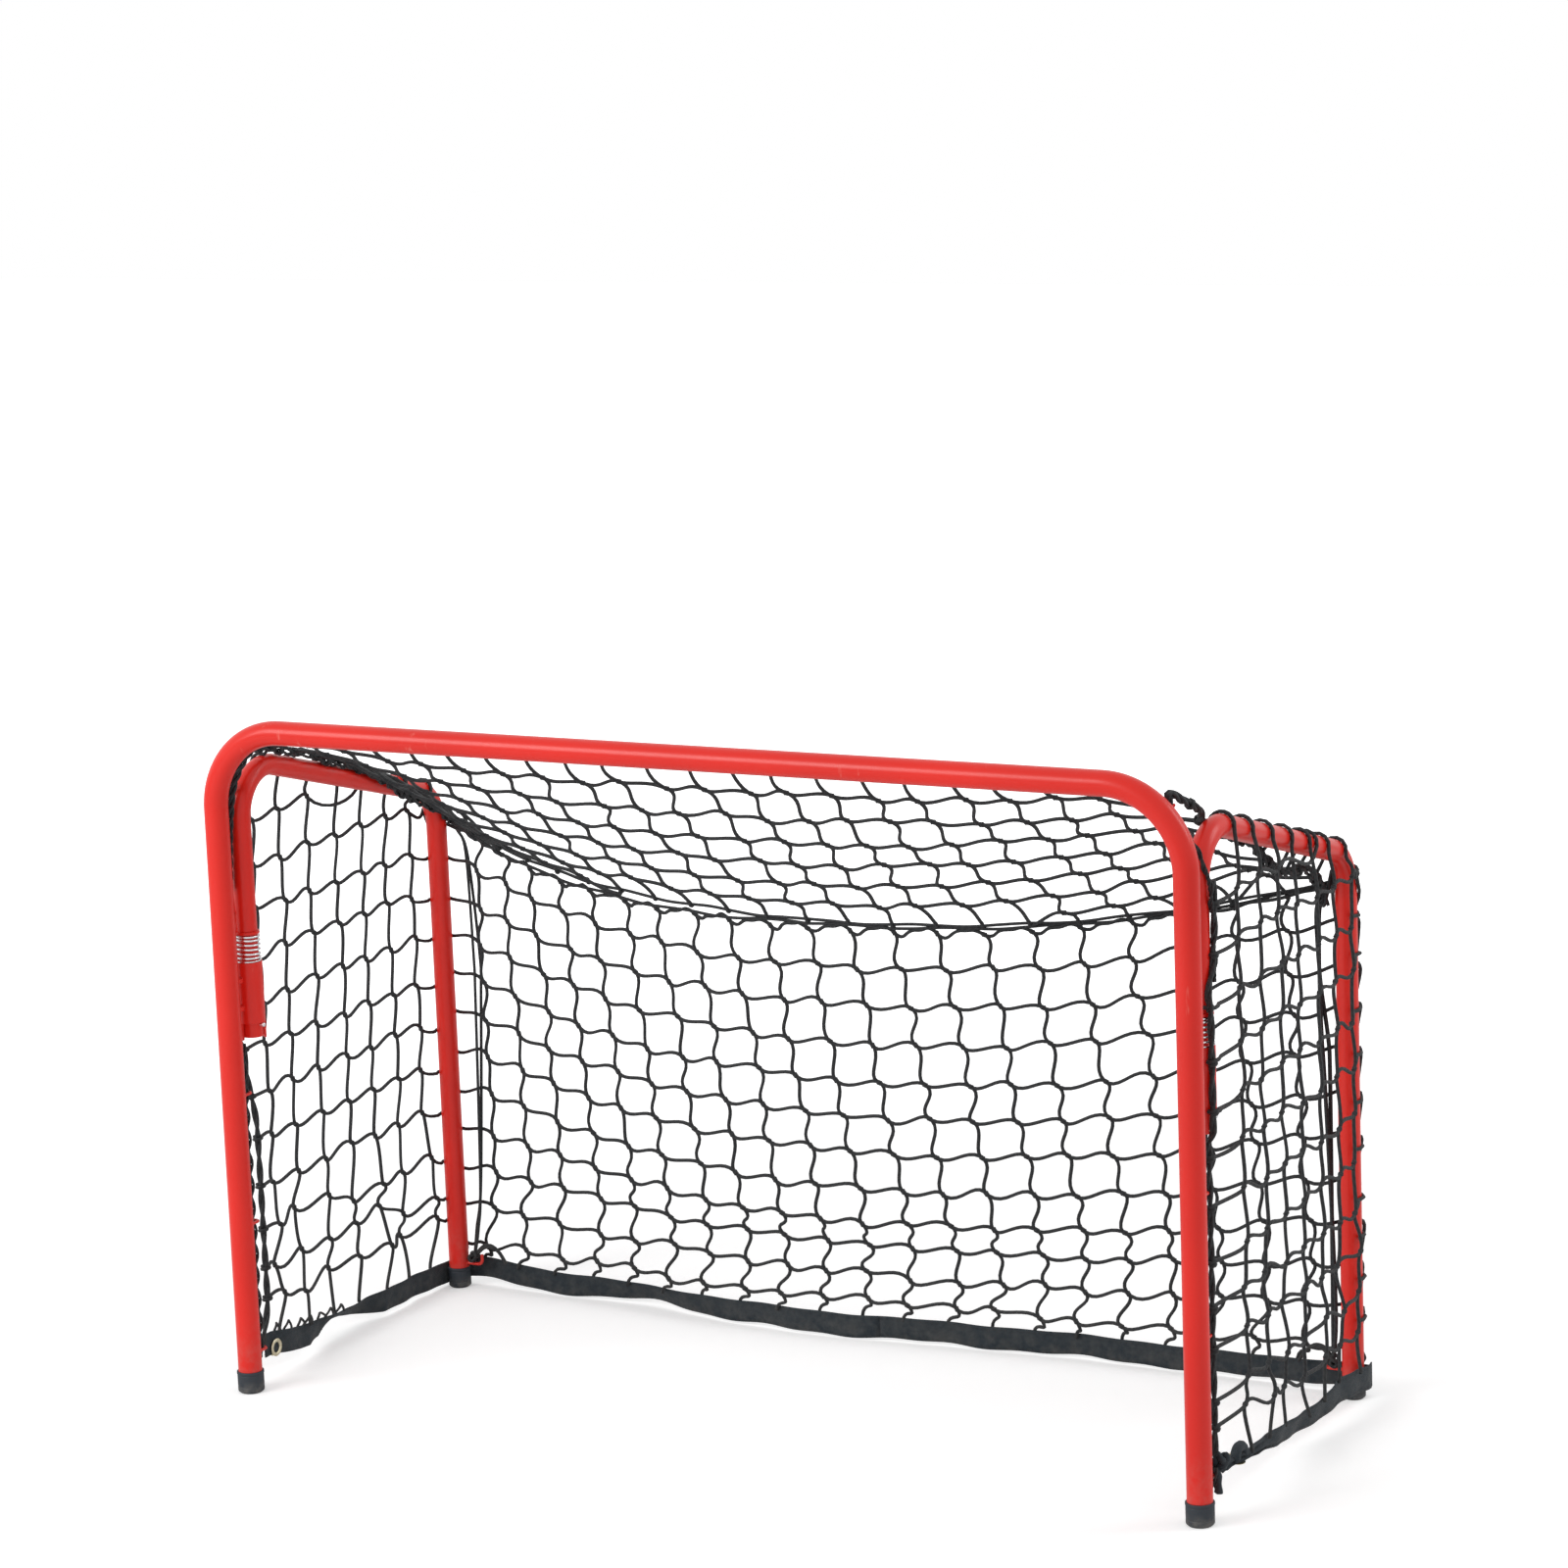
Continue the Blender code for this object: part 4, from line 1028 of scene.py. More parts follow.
class GOAL_OT_feet(Operator):
    """Moulded rubber feet with a rolled lip and a grooved wall"""

    bl_idname = "goal.feet"
    bl_label = "Rubber feet"

    def foot(self, name, node, outer, bore, x, y, body):
        relief = 0.0004
        lip = outer + relief
        groove = outer - relief
        floor = 0.005
        profile = [
            (bore, FOOT_TOP - GAP), (lip, FOOT_TOP - GAP), (lip, FOOT_TOP - 0.0036),
            (groove, FOOT_TOP - 0.0042), (outer, FOOT_TOP - 0.0050), (outer, 0.0085),
            (groove, 0.0078), (outer, 0.0070), (outer, 0.0022), (outer - 0.0026, 0),
            (0, 0), (0, floor), (bore, floor),
        ]
        shape = turned_shape(rounded(profile[:-3], 0.0009, 3, closed=False) + profile[-3:], 56)
        bmesh.ops.translate(shape, verts=shape.verts, vec=(x, y, 0))
        put(name, shape, "black_rubber", body, [node], 50)

    def execute(self, context):
        tubes = context.scene.goal_tubes
        for label, side in SIDES:
            self.foot(
                f"{label}_front_rubber_foot", f"{label}_front_foot", POST_FOOT_R, tubes.post / 2,
                side * POST_X, POST_Y, "front_frame",
            )
            self.foot(
                f"{label}_rear_rubber_foot", f"{label}_rear_foot", RAIL_FOOT_R, tubes.rail / 2,
                side * RAIL_X, LEG_Y, f"{label}_side_frame",
            )
        return {"FINISHED"}


def weld_bead(cords, centre, radius, angle, spread, height, dice):
    """Rippled bead of weld along an arc round a tube."""
    bead = 0.0013
    path = []
    steps = 14
    for step in range(steps + 1):
        turn = angle + spread * (step / steps - 0.5)
        ripple = 0.0002 * math.sin(step * 2.6) + dice.uniform(-0.0001, 0.0001)
        out = radius + ripple
        path.append(centre + Vector((math.cos(turn) * out, math.sin(turn) * out, height)))
    cords.add(path, bead)


def weld_spot(shape, point, outward, radius, dice):
    """Low blob of weld round the root of a wire."""
    wide, tall, uneven = 1.75, 1.05, 0.07
    turn = outward.to_track_quat("Z", "Y").to_matrix().to_4x4()
    size = Matrix.Diagonal((radius * wide, radius * wide, radius * tall, 1))
    found = bmesh.ops.create_uvsphere(
        shape, u_segments=14, v_segments=8, radius=1.0, matrix=Matrix.Translation(point) @ turn @ size
    )["verts"]
    for vert in found:
        vert.co += (vert.co - point) * dice.uniform(-uneven, uneven)


class GOAL_OT_hinges(Operator):
    """Swivel hinges: windowed sleeves, welded lugs, washers, coil springs, collars and cross pins"""

    bl_idname = "goal.hinges"
    bl_label = "Sprung hinges"

    def sleeve(self, label, side, tubes):
        """Sleeve with a window on each side at its foot, where the pin's ends turn."""
        window = 0.020
        web = (36, 77)
        bore = tubes.rail / 2 + 0.0004
        length = SLEEVE_HIGH - SLEEVE_LOW
        shape = bmesh.new()
        bmesh.ops.create_circle(shape, segments=96, radius=bore)
        edges = list(shape.edges)
        for rise in (window, length - window):
            made = bmesh.ops.extrude_edge_only(shape, edges=edges)["geom"]
            moved = of_kind(made, bmesh.types.BMVert)
            bmesh.ops.translate(shape, verts=moved, vec=(0, 0, rise))
            edges = [edge for edge in of_kind(made, bmesh.types.BMEdge) if set(edge.verts) <= set(moved)]
        open_faces = []
        for face in shape.faces:
            spot = face.calc_center_median()
            turn = math.degrees(math.atan2(spot.y, -side * spot.x)) % 180
            if spot.z < window and not web[0] < turn < web[1]:
                open_faces.append(face)
        bmesh.ops.delete(shape, geom=open_faces, context="FACES")
        bmesh.ops.recalc_face_normals(shape, faces=shape.faces)
        bmesh.ops.solidify(shape, geom=list(shape.faces), thickness=-(SLEEVE_R - bore))
        tidy_normals(shape)
        rims = [edge for edge in shape.edges if len(edge.link_faces) == 2 and edge.calc_face_angle() > 1.0]
        bmesh.ops.bevel(
            shape, geom=rims, offset=0.0004, segments=2, profile=0.5, affect="EDGES", material=-1,
            clamp_overlap=True,
        )
        bmesh.ops.translate(shape, verts=shape.verts, vec=(side * RAIL_X, HINGE_Y, SLEEVE_LOW))
        put(f"{label}_painted_sleeve", shape, "red_paint", "front_frame", [f"{label}_hinge_sleeve"])

    def welds(self, label, side, dice):
        """Beads above and below each lug, round the post and round the sleeve."""
        beads = Cords()
        post = Vector((side * POST_X, POST_Y, 0))
        hinge = Vector((side * RAIL_X, HINGE_Y, 0))
        facing = math.atan2(hinge.y - post.y, hinge.x - post.x)
        tubes = bpy.context.scene.goal_tubes
        post_arc, sleeve_arc = 0.62, 0.54
        for node in (f"{label}_upper_lug", f"{label}_lower_lug"):
            low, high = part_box(node)
            for height in (low.z, high.z):
                weld_bead(beads, post, tubes.post / 2, facing, post_arc, height, dice)
                weld_bead(beads, hinge, SLEEVE_R, facing + math.pi, sleeve_arc, height, dice)
        put(f"{label}_lug_welds", beads.pour(2), "red_paint", "front_frame", sharp=0)

    def spring(self, label, side, tubes):
        """Coil with its end turns closed up, as wound springs have."""
        wire = tubes.spring_wire
        radius = tubes.rail / 2 + GAP + wire / 2
        low = SPRING_LOW + wire / 2
        high = SPRING_HIGH - wire / 2
        turns = 6.0
        closed = 0.8
        rise = high - low - 2 * closed * wire
        path = []
        points = 30
        for number in range(round(turns * points) + 1):
            turn = number / points
            active = min(max(turn - closed, 0.0), turns - 2 * closed)
            shut = min(turn, closed) + max(0.0, turn - (turns - closed))
            height = low + shut * wire + rise * active / (turns - 2 * closed)
            angle = 2 * math.pi * turn
            x = side * (RAIL_X + radius * math.cos(angle))
            path.append(Vector((x, HINGE_Y + radius * math.sin(angle), height)))
        coil = Cords()
        coil.add(path, wire / 2)
        shape = coil.pour(3)
        solid = f"{label}_hinge_spring"
        item = put(f"{label}_coil_spring", shape, "bright_zinc", f"{label}_swivel", [solid], 50)
        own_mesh(item)

    def rings(self, label, side, tubes):
        """Washer below the spring and collar above it."""
        for node, name, finish, body in (
            ("spring_washer", "plain_washer", "bright_zinc", "swivel"),
            ("spring_collar", "painted_collar", "red_paint", "side_frame"),
        ):
            low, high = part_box(f"{label}_{node}")
            inner = tubes.rail / 2 + GAP
            outer = (high.y - low.y) / 2
            corners = [(outer, high.z), (outer, low.z), (inner, low.z), (inner, high.z)]
            shape = turned_shape(rounded(corners, 0.0004, 3))
            bmesh.ops.translate(shape, verts=shape.verts, vec=(side * RAIL_X, HINGE_Y, 0))
            put(f"{label}_{name}", shape, finish, f"{label}_{body}", [f"{label}_{node}"])

    def pin(self, label):
        """Cross pin with domed ends."""
        low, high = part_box(f"{label}_stop_pin")
        radius = (high.z - low.z) / 2
        half = (high.x - low.x) / 2
        dome = ((0, 0), (0.5, 0.0001), (0.86, 0.0005), (1, 0.0012))
        profile = [(radius * share, half - drop) for share, drop in dome]
        profile += [(across, -along) for across, along in reversed(profile)]
        shape = turned_shape(profile, 32, closed=False)
        place = Matrix.Translation((low + high) / 2) @ Matrix.Rotation(math.pi / 2, 4, "Y")
        bmesh.ops.transform(shape, matrix=place, verts=shape.verts)
        put(f"{label}_domed_pin", shape, "bright_zinc", f"{label}_side_frame", [f"{label}_stop_pin"], 50)

    def execute(self, context):
        tubes = context.scene.goal_tubes
        dice = random.Random(11)
        for label, side in SIDES:
            self.sleeve(label, side, tubes)
            self.welds(label, side, dice)
            self.rings(label, side, tubes)
            self.spring(label, side, tubes)
            self.pin(label)
            for node in (f"{label}_upper_lug", f"{label}_lower_lug"):
                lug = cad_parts[node]
                lug.data.materials.clear()
                lug.data.materials.append(Finishes.get("red_paint"))
        return {"FINISHED"}


class GOAL_OT_wires(Operator):
    """Welded wire eyes behind the front tube and hooks at the rear legs"""

    bl_idname = "goal.wires"
    bl_label = "Eyes and hooks"

    def eye(self, node, across, tubes, dice):
        """Bent wire whose two ends are welded to the back of the tube."""
        slanted, sunk = 0.0033, 0.001
        low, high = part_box(node)
        centre = (low + high) / 2
        radius = tubes.eye_wire / 2
        half = (high - low).dot(Vector((abs(across.x), 0, abs(across.z)))) / 2 - radius
        if across.x and across.z:
            half = radius + slanted
        root = POST_Y + math.sqrt((tubes.post / 2) ** 2 - (half * abs(across.z)) ** 2) - sunk
        tip = high.y - radius
        corners = [
            Vector((centre.x, y, centre.z)) + across * half * sense
            for y, sense in ((root, 1), (tip, 1), (tip, -1), (root, -1))
        ]
        shape = bmesh.new()
        add_tube(shape, corners, half * 0.98, radius, 14, 7)
        for corner in (corners[0], corners[3]):
            weld_spot(shape, corner + Vector((0, 0.0006, 0)), Vector((0, 1, 0)), radius, dice)
        tidy_normals(shape)
        put(f"{node}_wire", shape, "red_paint", "front_frame", [node], 60)

    def hook(self, label, side, tubes, dice):
        """Bent wire that stands up from the inside of the rear leg."""
        sunk, bend = 0.0008, 0.006
        low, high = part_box(f"{label}_rear_hook")
        radius = tubes.hook_wire / 2
        root = side * (RAIL_X - tubes.rail / 2 + sunk)
        tip = low.x + radius if side > 0 else high.x - radius
        y = (low.y + high.y) / 2
        bottom = low.z + radius
        shape = bmesh.new()
        add_tube(shape, [(root, y, bottom), (tip, y, bottom), (tip, y, high.z)], bend, radius, 16, 10)
        weld_spot(shape, Vector((root, y, bottom)), Vector((-side, 0, 0)), radius, dice)
        tidy_normals(shape)
        put(f"{label}_wire_hook", shape, "red_paint", f"{label}_side_frame", [f"{label}_rear_hook"], 60)

    def execute(self, context):
        tubes = context.scene.goal_tubes
        dice = random.Random(5)
        for node in sorted(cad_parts):
            if node.startswith("crossbar_eye"):
                self.eye(node, Vector((0, 0, 1)), tubes, dice)
            elif "_post_eye_" in node:
                self.eye(node, Vector((1, 0, 0)), tubes, dice)
        slant = math.sqrt(0.5)
        for label, side in SIDES:
            self.eye(f"{label}_bend_eye", Vector((side * slant, 0, slant)), tubes, dice)
            self.hook(label, side, tubes, dice)
        return {"FINISHED"}


def bend_eye(side):
    low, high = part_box("right_bend_eye" if side > 0 else "left_bend_eye")
    return Vector(((low.x + high.x) / 2, ROPE_Y, (low.z + high.z) / 2))


class GOAL_OT_ropes(Operator):
    """Border ropes of the net, laid from real strands"""

    bl_idname = "goal.ropes"
    bl_label = "Border ropes"

    def crossbar(self, net):
        """Rope through the crossbar's eyes, down round both bends."""
        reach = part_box("crossbar_rope")[1].x - net.rope / 2
        count = 60
        points = []
        for step in range(count + 1):
            x = -reach + 2 * reach * step / count
            sag = 0.0016 * math.sin(step * 1.9)
            points.append((x, ROPE_Y, crossbar_height(x) + sag))
        cords = Cords()
        cords.add_rope(smooth_path(points, ROPE_STEP), net.rope, net.lay)
        cords.finish("crossbar_cord", "front_frame", ["crossbar_rope"])

    def post(self, label, side, net, dice):
        """Rope down a post's eyes, with net twine wound round it."""
        low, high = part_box(f"{label}_post_rope")
        count = 16
        points = []
        for step in range(count + 1):
            z = high.z - (high.z - low.z) * step / count
            sway = 0.0012 * math.sin(step * 1.7)
            points.append((side * (POST_X + sway), ROPE_Y + sway, z))
        path = smooth_path(points, ROPE_STEP)
        cords = Cords()
        cords.add_rope(path, net.rope, net.lay)
        fine = even_steps(path, CORD_STEP)
        around = net.rope / 2 + 0.0012
        cords.add_wound(fine, 2, around, lay=0.055, radius=0.0015, start=dice.uniform(0, 3))
        cords.finish(f"{label}_post_cord", "front_frame", [f"{label}_post_rope"])

    def leg(self, label, side, net, tubes, dice):
        """Rope from the bend eye down the outside of the side frame's front leg, with net twine round it."""
        rope = 0.0046
        around = tubes.rail / 2 + 0.0036
        eye = bend_eye(side)
        line = rail_line(side, EDGE_STEP)
        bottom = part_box(f"{label}_rail_rope")[0].z
        points = [eye, (side * (RAIL_X + 0.002), eye.y - 0.001, tubes.rail_front - 0.018)]
        for z, degrees in ((0.70, -60), (0.66, -90), (0.62, -112), (bottom + 0.012, -112)):
            number = min(range(len(line)), key=lambda n: abs(line[n].z - z) + abs(line[n].y - HINGE_Y) * 4)
            points.append(beside_rail(side, line, number, math.radians(degrees), around))
        path = smooth_path(points, CORD_STEP)
        cords = Cords()
        cords.add_rope(path, rope, net.lay)
        cords.add_wound(path, 1, offset=0.0030, lay=0.040, radius=0.0012, start=dice.uniform(0, 6))
        item = cords.finish(f"{label}_leg_cord")
        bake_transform(item)

    def bundle(self, label, side, net, dice):
        """Gathered edge of the net along the rail: several cords that cross over each other."""
        rope, rope_begin = 0.0040, 0.12
        twine, twine_begin, play = 0.0017, 0.14, 0.0012
        line = smooth_path(bundle_line(side), CORD_STEP)
        rail = rail_line(side)
        least = bpy.context.scene.goal_tubes.rail / 2
        cords = Cords()
        ropes = wound_strands(line, 3, offset=0.0025, lay=0.105, start=dice.uniform(0, 6))
        for number, wound in enumerate(ropes):
            loose = []
            for step, point in enumerate(wound):
                push = 0.0014 * math.sin(step * 0.21 + number * 2)
                loose.append(clear_of(rail, point + Vector((push, push * 0.4, -push)), least + 0.0026))
            cords.add_rope(loose[round(len(loose) * rope_begin * number) :], rope, net.lay * 0.8)
        twines = wound_strands(line, 4, offset=0.0048, lay=0.078, start=dice.uniform(0, 6))
        for number, wound in enumerate(twines):
            wild = [point + Vector([dice.uniform(-play, play) for _ in range(3)]) for point in wound]
            path = [clear_of(rail, point, least + 0.0020) for point in smooth_path(wild[::2], CORD_STEP)]
            cords.add(path[round(len(path) * twine_begin * number) :], twine)
        cords.add_turns(line, (0.14, 0.37, 0.52, 0.74, 0.90), around=0.0058, turns=1.6, radius=net.strand / 2)
        cords.finish(f"{label}_rail_bundle", f"{label}_side_frame", [f"{label}_rail_rope"])

    def front_tie(self, label, side, dice):
        """The bundle's front end: lumpy twine from the bend eye on to the rail, with two knots."""
        eye = bend_eye(side)
        line = bundle_line(side)
        rail = rail_line(side)
        least = bpy.context.scene.goal_tubes.rail / 2 + 0.0045

        def clear(places):
            return [clear_of(rail, Vector((side * x, y, z)), least) for x, y, z in places]

        path = smooth_path([eye, *clear(FRONT_TIES[side]), line[0], line[1]], CORD_STEP)
        cords = Cords()
        cords.add_wound(path, 3, offset=0.0026, lay=0.05, radius=0.0024, start=dice.uniform(0, 6))
        cords.add_turns(path, (0.34, 0.66), around=0.0048, turns=2.2, radius=0.0018)
        if side < 0:
            down = smooth_path(clear(TIE_DROP), CORD_STEP)
            cords.add_wound(down, 3, offset=0.0027, lay=0.045, radius=0.0020, start=dice.uniform(0, 6))
        item = cords.finish(f"{label}_front_tie")
        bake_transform(item)

    def corner(self, label, side, dice):
        """Pair of cords that bow apart down the rear leg, tied to the hook in a knot with two tails."""
        tubes = bpy.context.scene.goal_tubes
        radius = 0.0027 if side > 0 else 0.0020
        tail_radius = 0.0023
        knot_size = 0.0068
        least = tubes.rail / 2 + 0.0024
        hook_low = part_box(f"{label}_rear_hook")[0]
        seat = Vector((side * (RAIL_X - tubes.rail / 2 - 0.011), LEG_Y, hook_low.z + tubes.hook_wire + 0.007))
        top = bundle_line(side)[-1]
        cords = Cords()
        for spread in (0.0030, -0.0030):
            points = [top]
            for step, (inset, z) in enumerate(CORNER_CORDS[side]):
                bow = spread * math.cos(step * 1.3)
                points.append(Vector((side * inset + bow, LEG_Y + 0.006 - spread, z)))
            path = smooth_path([*points, seat], BORDER_STEP)
            cords.add([clear_of_axis(point, side * RAIL_X, LEG_Y, least) for point in path], radius)
        self.knot(cords, seat, knot_size, dice)
        for reach, lift in ((0.044, -0.006), (0.030, 0.012)):
            places = ((0, 0, 0), (0.35, 0.002, 0.013), (0.72, 0.003, 0.012 + lift * 0.3), (1, 0.003, lift))
            tail = [seat + Vector((-side * reach * share, y, z)) for share, y, z in places]
            cords.add(smooth_path(tail, TIE_STEP), tail_radius)
        cords.finish(f"{label}_corner_cords", f"{label}_side_frame", [f"{label}_corner_rope"])

    def knot(self, cords, point, size, dice):
        """Tight overhand knot: a line that winds three times round itself."""
        radius = 0.0021
        steps_a_turn = 15
        spin = dice.uniform(0, 6)
        line = []
        for step in range(3 * steps_a_turn + 1):
            angle = 2 * math.pi * step / steps_a_turn
            wide = size * (0.62 + 0.38 * math.cos(angle * 1.5 + spin))
            x, z = math.cos(angle) * wide, math.sin(angle) * wide
            line.append(point + Vector((x, math.sin(angle * 2 / 3) * size * 0.6, z)))
        cords.add(smooth_path(line, KNOT_STEP), radius)

    def back(self, label, side):
        """Half of the double rope between the rear corners, following its own side."""
        radius, inset = 0.0019, 0.008
        steps = 18
        cords = Cords()
        for level in (-1, 1):
            points = []
            for step in range(steps + 1):
                x = side * (RAIL_X - inset) * step / steps
                waver = 0.0012 * math.sin(step * 1.7 + level)
                points.append(back_rope_point(x) + Vector((0, 0, level * rope_gap(x) + waver)))
            cords.add(smooth_path(points, BORDER_STEP), radius)
        item = cords.finish(f"{label}_back_cords", replaces=["back_rope"])
        bend_with_fold(item)

    def execute(self, context):
        net = context.scene.goal_net
        tubes = context.scene.goal_tubes
        dice = random.Random(23)
        self.crossbar(net)
        for label, side in SIDES:
            self.post(label, side, net, dice)
            self.leg(label, side, net, tubes, dice)
            self.bundle(label, side, net, dice)
            self.front_tie(label, side, dice)
            self.corner(label, side, dice)
            self.back(label, side)
        return {"FINISHED"}


def over_rail(side, rail, bundle, y):
    """Line of twine from the outside of a side frame's top run, over it, to the gathered edge inside."""
    begin, least, sweep = -95, 20, 87
    steps = 8
    number = min(range(len(rail)), key=lambda n: abs(rail[n].y - y) * 3 - rail[n].z)
    centre = rail[number]
    goal = height_at(bundle, centre.y)
    heading = (rail[min(number + 1, len(rail) - 1)] - rail[max(number - 1, 0)]).normalized()
    outward = Vector((0, -heading.z, heading.y))
    away = goal - centre
    last = math.degrees(math.atan2(-side * away.x, away.dot(outward)))
    reach = bpy.context.scene.goal_tubes.rail / 2 + 0.0020
    arc = []
    for step in range(steps + 1):
        angle = math.radians(begin + (max(last, least) + sweep) * step / steps)
        arc.append(beside_rail(side, rail, number, angle, reach))
    return [*arc, goal]


class NetPiece:
    """One piece of net in the making: its twine and its knots."""

    def __init__(self, dice, guard):
        self.cords = Cords()
        self.dice = dice
        self.guard = guard
        self.radius = bpy.context.scene.goal_net.strand / 2

    def twine(self, path):
        self.cords.add([self.guard(point) for point in path], self.radius)

    def join(self, here, beyond, ease=1.0, before=(), after=()):
        self.twine([*before, *strand(here, beyond, self.dice, ease), *after])

    def tie(self, knots):
        net = bpy.context.scene.goal_net
        for knot in knots:
            knot.add(self.cords, net.knot, net.strand)

    def hitch(self, point, along, radius, start, turns=1.25):
        self.cords.add(loop_round(point, along, radius, start, turns), self.radius)


class NetHalves:
    """The halves of a net that spans the goal, each beside its own side frame."""

    # Half the width within which no side tube is near
    FREE = 0.560

    def __init__(self, dice):
        tubes = bpy.context.scene.goal_tubes
        net = bpy.context.scene.goal_net
        self.middle = net.columns // 2
        self.reach = tubes.rail / 2 + net.strand / 2 + GAP
        self.edges = {side: smooth_path(bundle_line(side), EDGE_STEP) for _, side in SIDES}
        self.rails = {side: rail_line(side) for _, side in SIDES}
        self.pieces = {side: NetPiece(dice, self.guard) for _, side in SIDES}

    def guard(self, point):
        """Keeps twine clear of the side tubes."""
        if abs(point.x) < self.FREE:
            return point
        return clear_of(self.rails[1 if point.x > 0 else -1], point, self.reach)

    def side_of(self, column):
        return -1 if column < self.middle else 1

    def piece(self, column):
        return self.pieces[self.side_of(column)]

    def finish(self, name, node):
        for label, side in SIDES:
            item = self.pieces[side].cords.finish(f"{label}_{name}", replaces=[node])
            bend_with_fold(item)


class GOAL_OT_roof_net(Operator):
    """Knotted roof net, whose rows stay a mesh apart and run out on the back rope"""

    bl_idname = "goal.roof_net"
    bl_label = "Roof net"

    def execute(self, context):
        net = context.scene.goal_net
        columns = net.columns
        dice = random.Random(101)
        halves = NetHalves(dice)
        front_x = bend_eye(1).x
        # Where the first row lies down the slope, and what stays free above the rope, in meshes
        first_row, rope_room = 0.020, 0.55
        right = Vector((1, 0, 0))

        def across_of(column):
            return 2 * column / columns - 1

        def rope_place(column):
            return back_rope_point(rope_x(column, columns))

        def slope(column):
            x = across_of(column) * front_x
            return (rope_place(column) - Vector((x, ROPE_Y, crossbar_height(x)))).length

        def edge_at(sense, y):
            return height_at(halves.edges[1 if sense else -1], y)

        def spot(column, row):
            across = across_of(column)
            share = (first_row * min(-row, 1) - row * net.roof_pitch) / slope(column)
            y = ROPE_Y + (rope_place(column).y - ROPE_Y) * share
            edge = edge_at(across >= 0, y)
            x = across * (front_x + (abs(edge.x) - front_x) * smooth_share(share * 3))
            front = crossbar_height(x)
            flat = front + (back_rope_point(x).z - front) * share
            dip = 0.008 * math.sin(math.pi * min(max(share, 0.0), 1.0)) * (1 - abs(across) ** 3)
            near_edge = smooth_share((abs(across) - 0.78) / 0.22)
            edge_z = edge.z + (front - edge.z) * (1 - smooth_share(share / 0.2))
            return Vector((x, y, (flat - dip) * (1 - near_edge) + edge_z * near_edge))

        def loose(column, row):
            return 0.0 if row == 0 else 0.08

        def rows_of(column):
            return int((slope(column) - first_row) / net.roof_pitch - rope_room)

        def end_of(column, row):
            """Knot of a row at a column, or where the row runs out on the rope or the gathered edge."""
            if 0 < column < columns and row <= rows_of(column):
                return grid[column, -row]
            if column in (0, columns):
                return Knot(edge_at(column, spot(column, -row).y), right)
            return Knot(rope_place(column), right)

        most = max(rows_of(column) for column in range(1, columns))
        grid = knot_grid(spot, range(1, columns), range(0, -most - 1, -1), dice, loose)
        for column in range(1, columns):
            piece = halves.piece(column)
            knots = [grid[column, -row] for row in range(1, rows_of(column) + 1)]
            x = grid[column, 0].point.x
            top = Vector((x, ROPE_Y, crossbar_height(x)))
            rope = rope_place(column)
            bottom = rope + Vector((0, 0, rope_gap(rope.x)))
            down = (bottom - top).normalized()
            chain = [Knot(top + down * 0.004, down), *knots, Knot(bottom - down * 0.003, down)]
            for here, beyond in zip(chain, chain[1:]):
                piece.join(here, beyond)
            piece.tie(knots)
            piece.hitch(top, right, net.rope / 2 + net.strand / 2, down)
            piece.hitch(bottom, right, 0.0022, -down, 0.6)
        for row in range(1, most + 1):
            for column in range(columns):
                ends = [end_of(column, row), end_of(column + 1, row)]
                if any(end.head != end.tail for end in ends):
                    halves.piece(column).join(*ends)
        halves.finish("roof_mesh", "top_net")
        return {"FINISHED"}


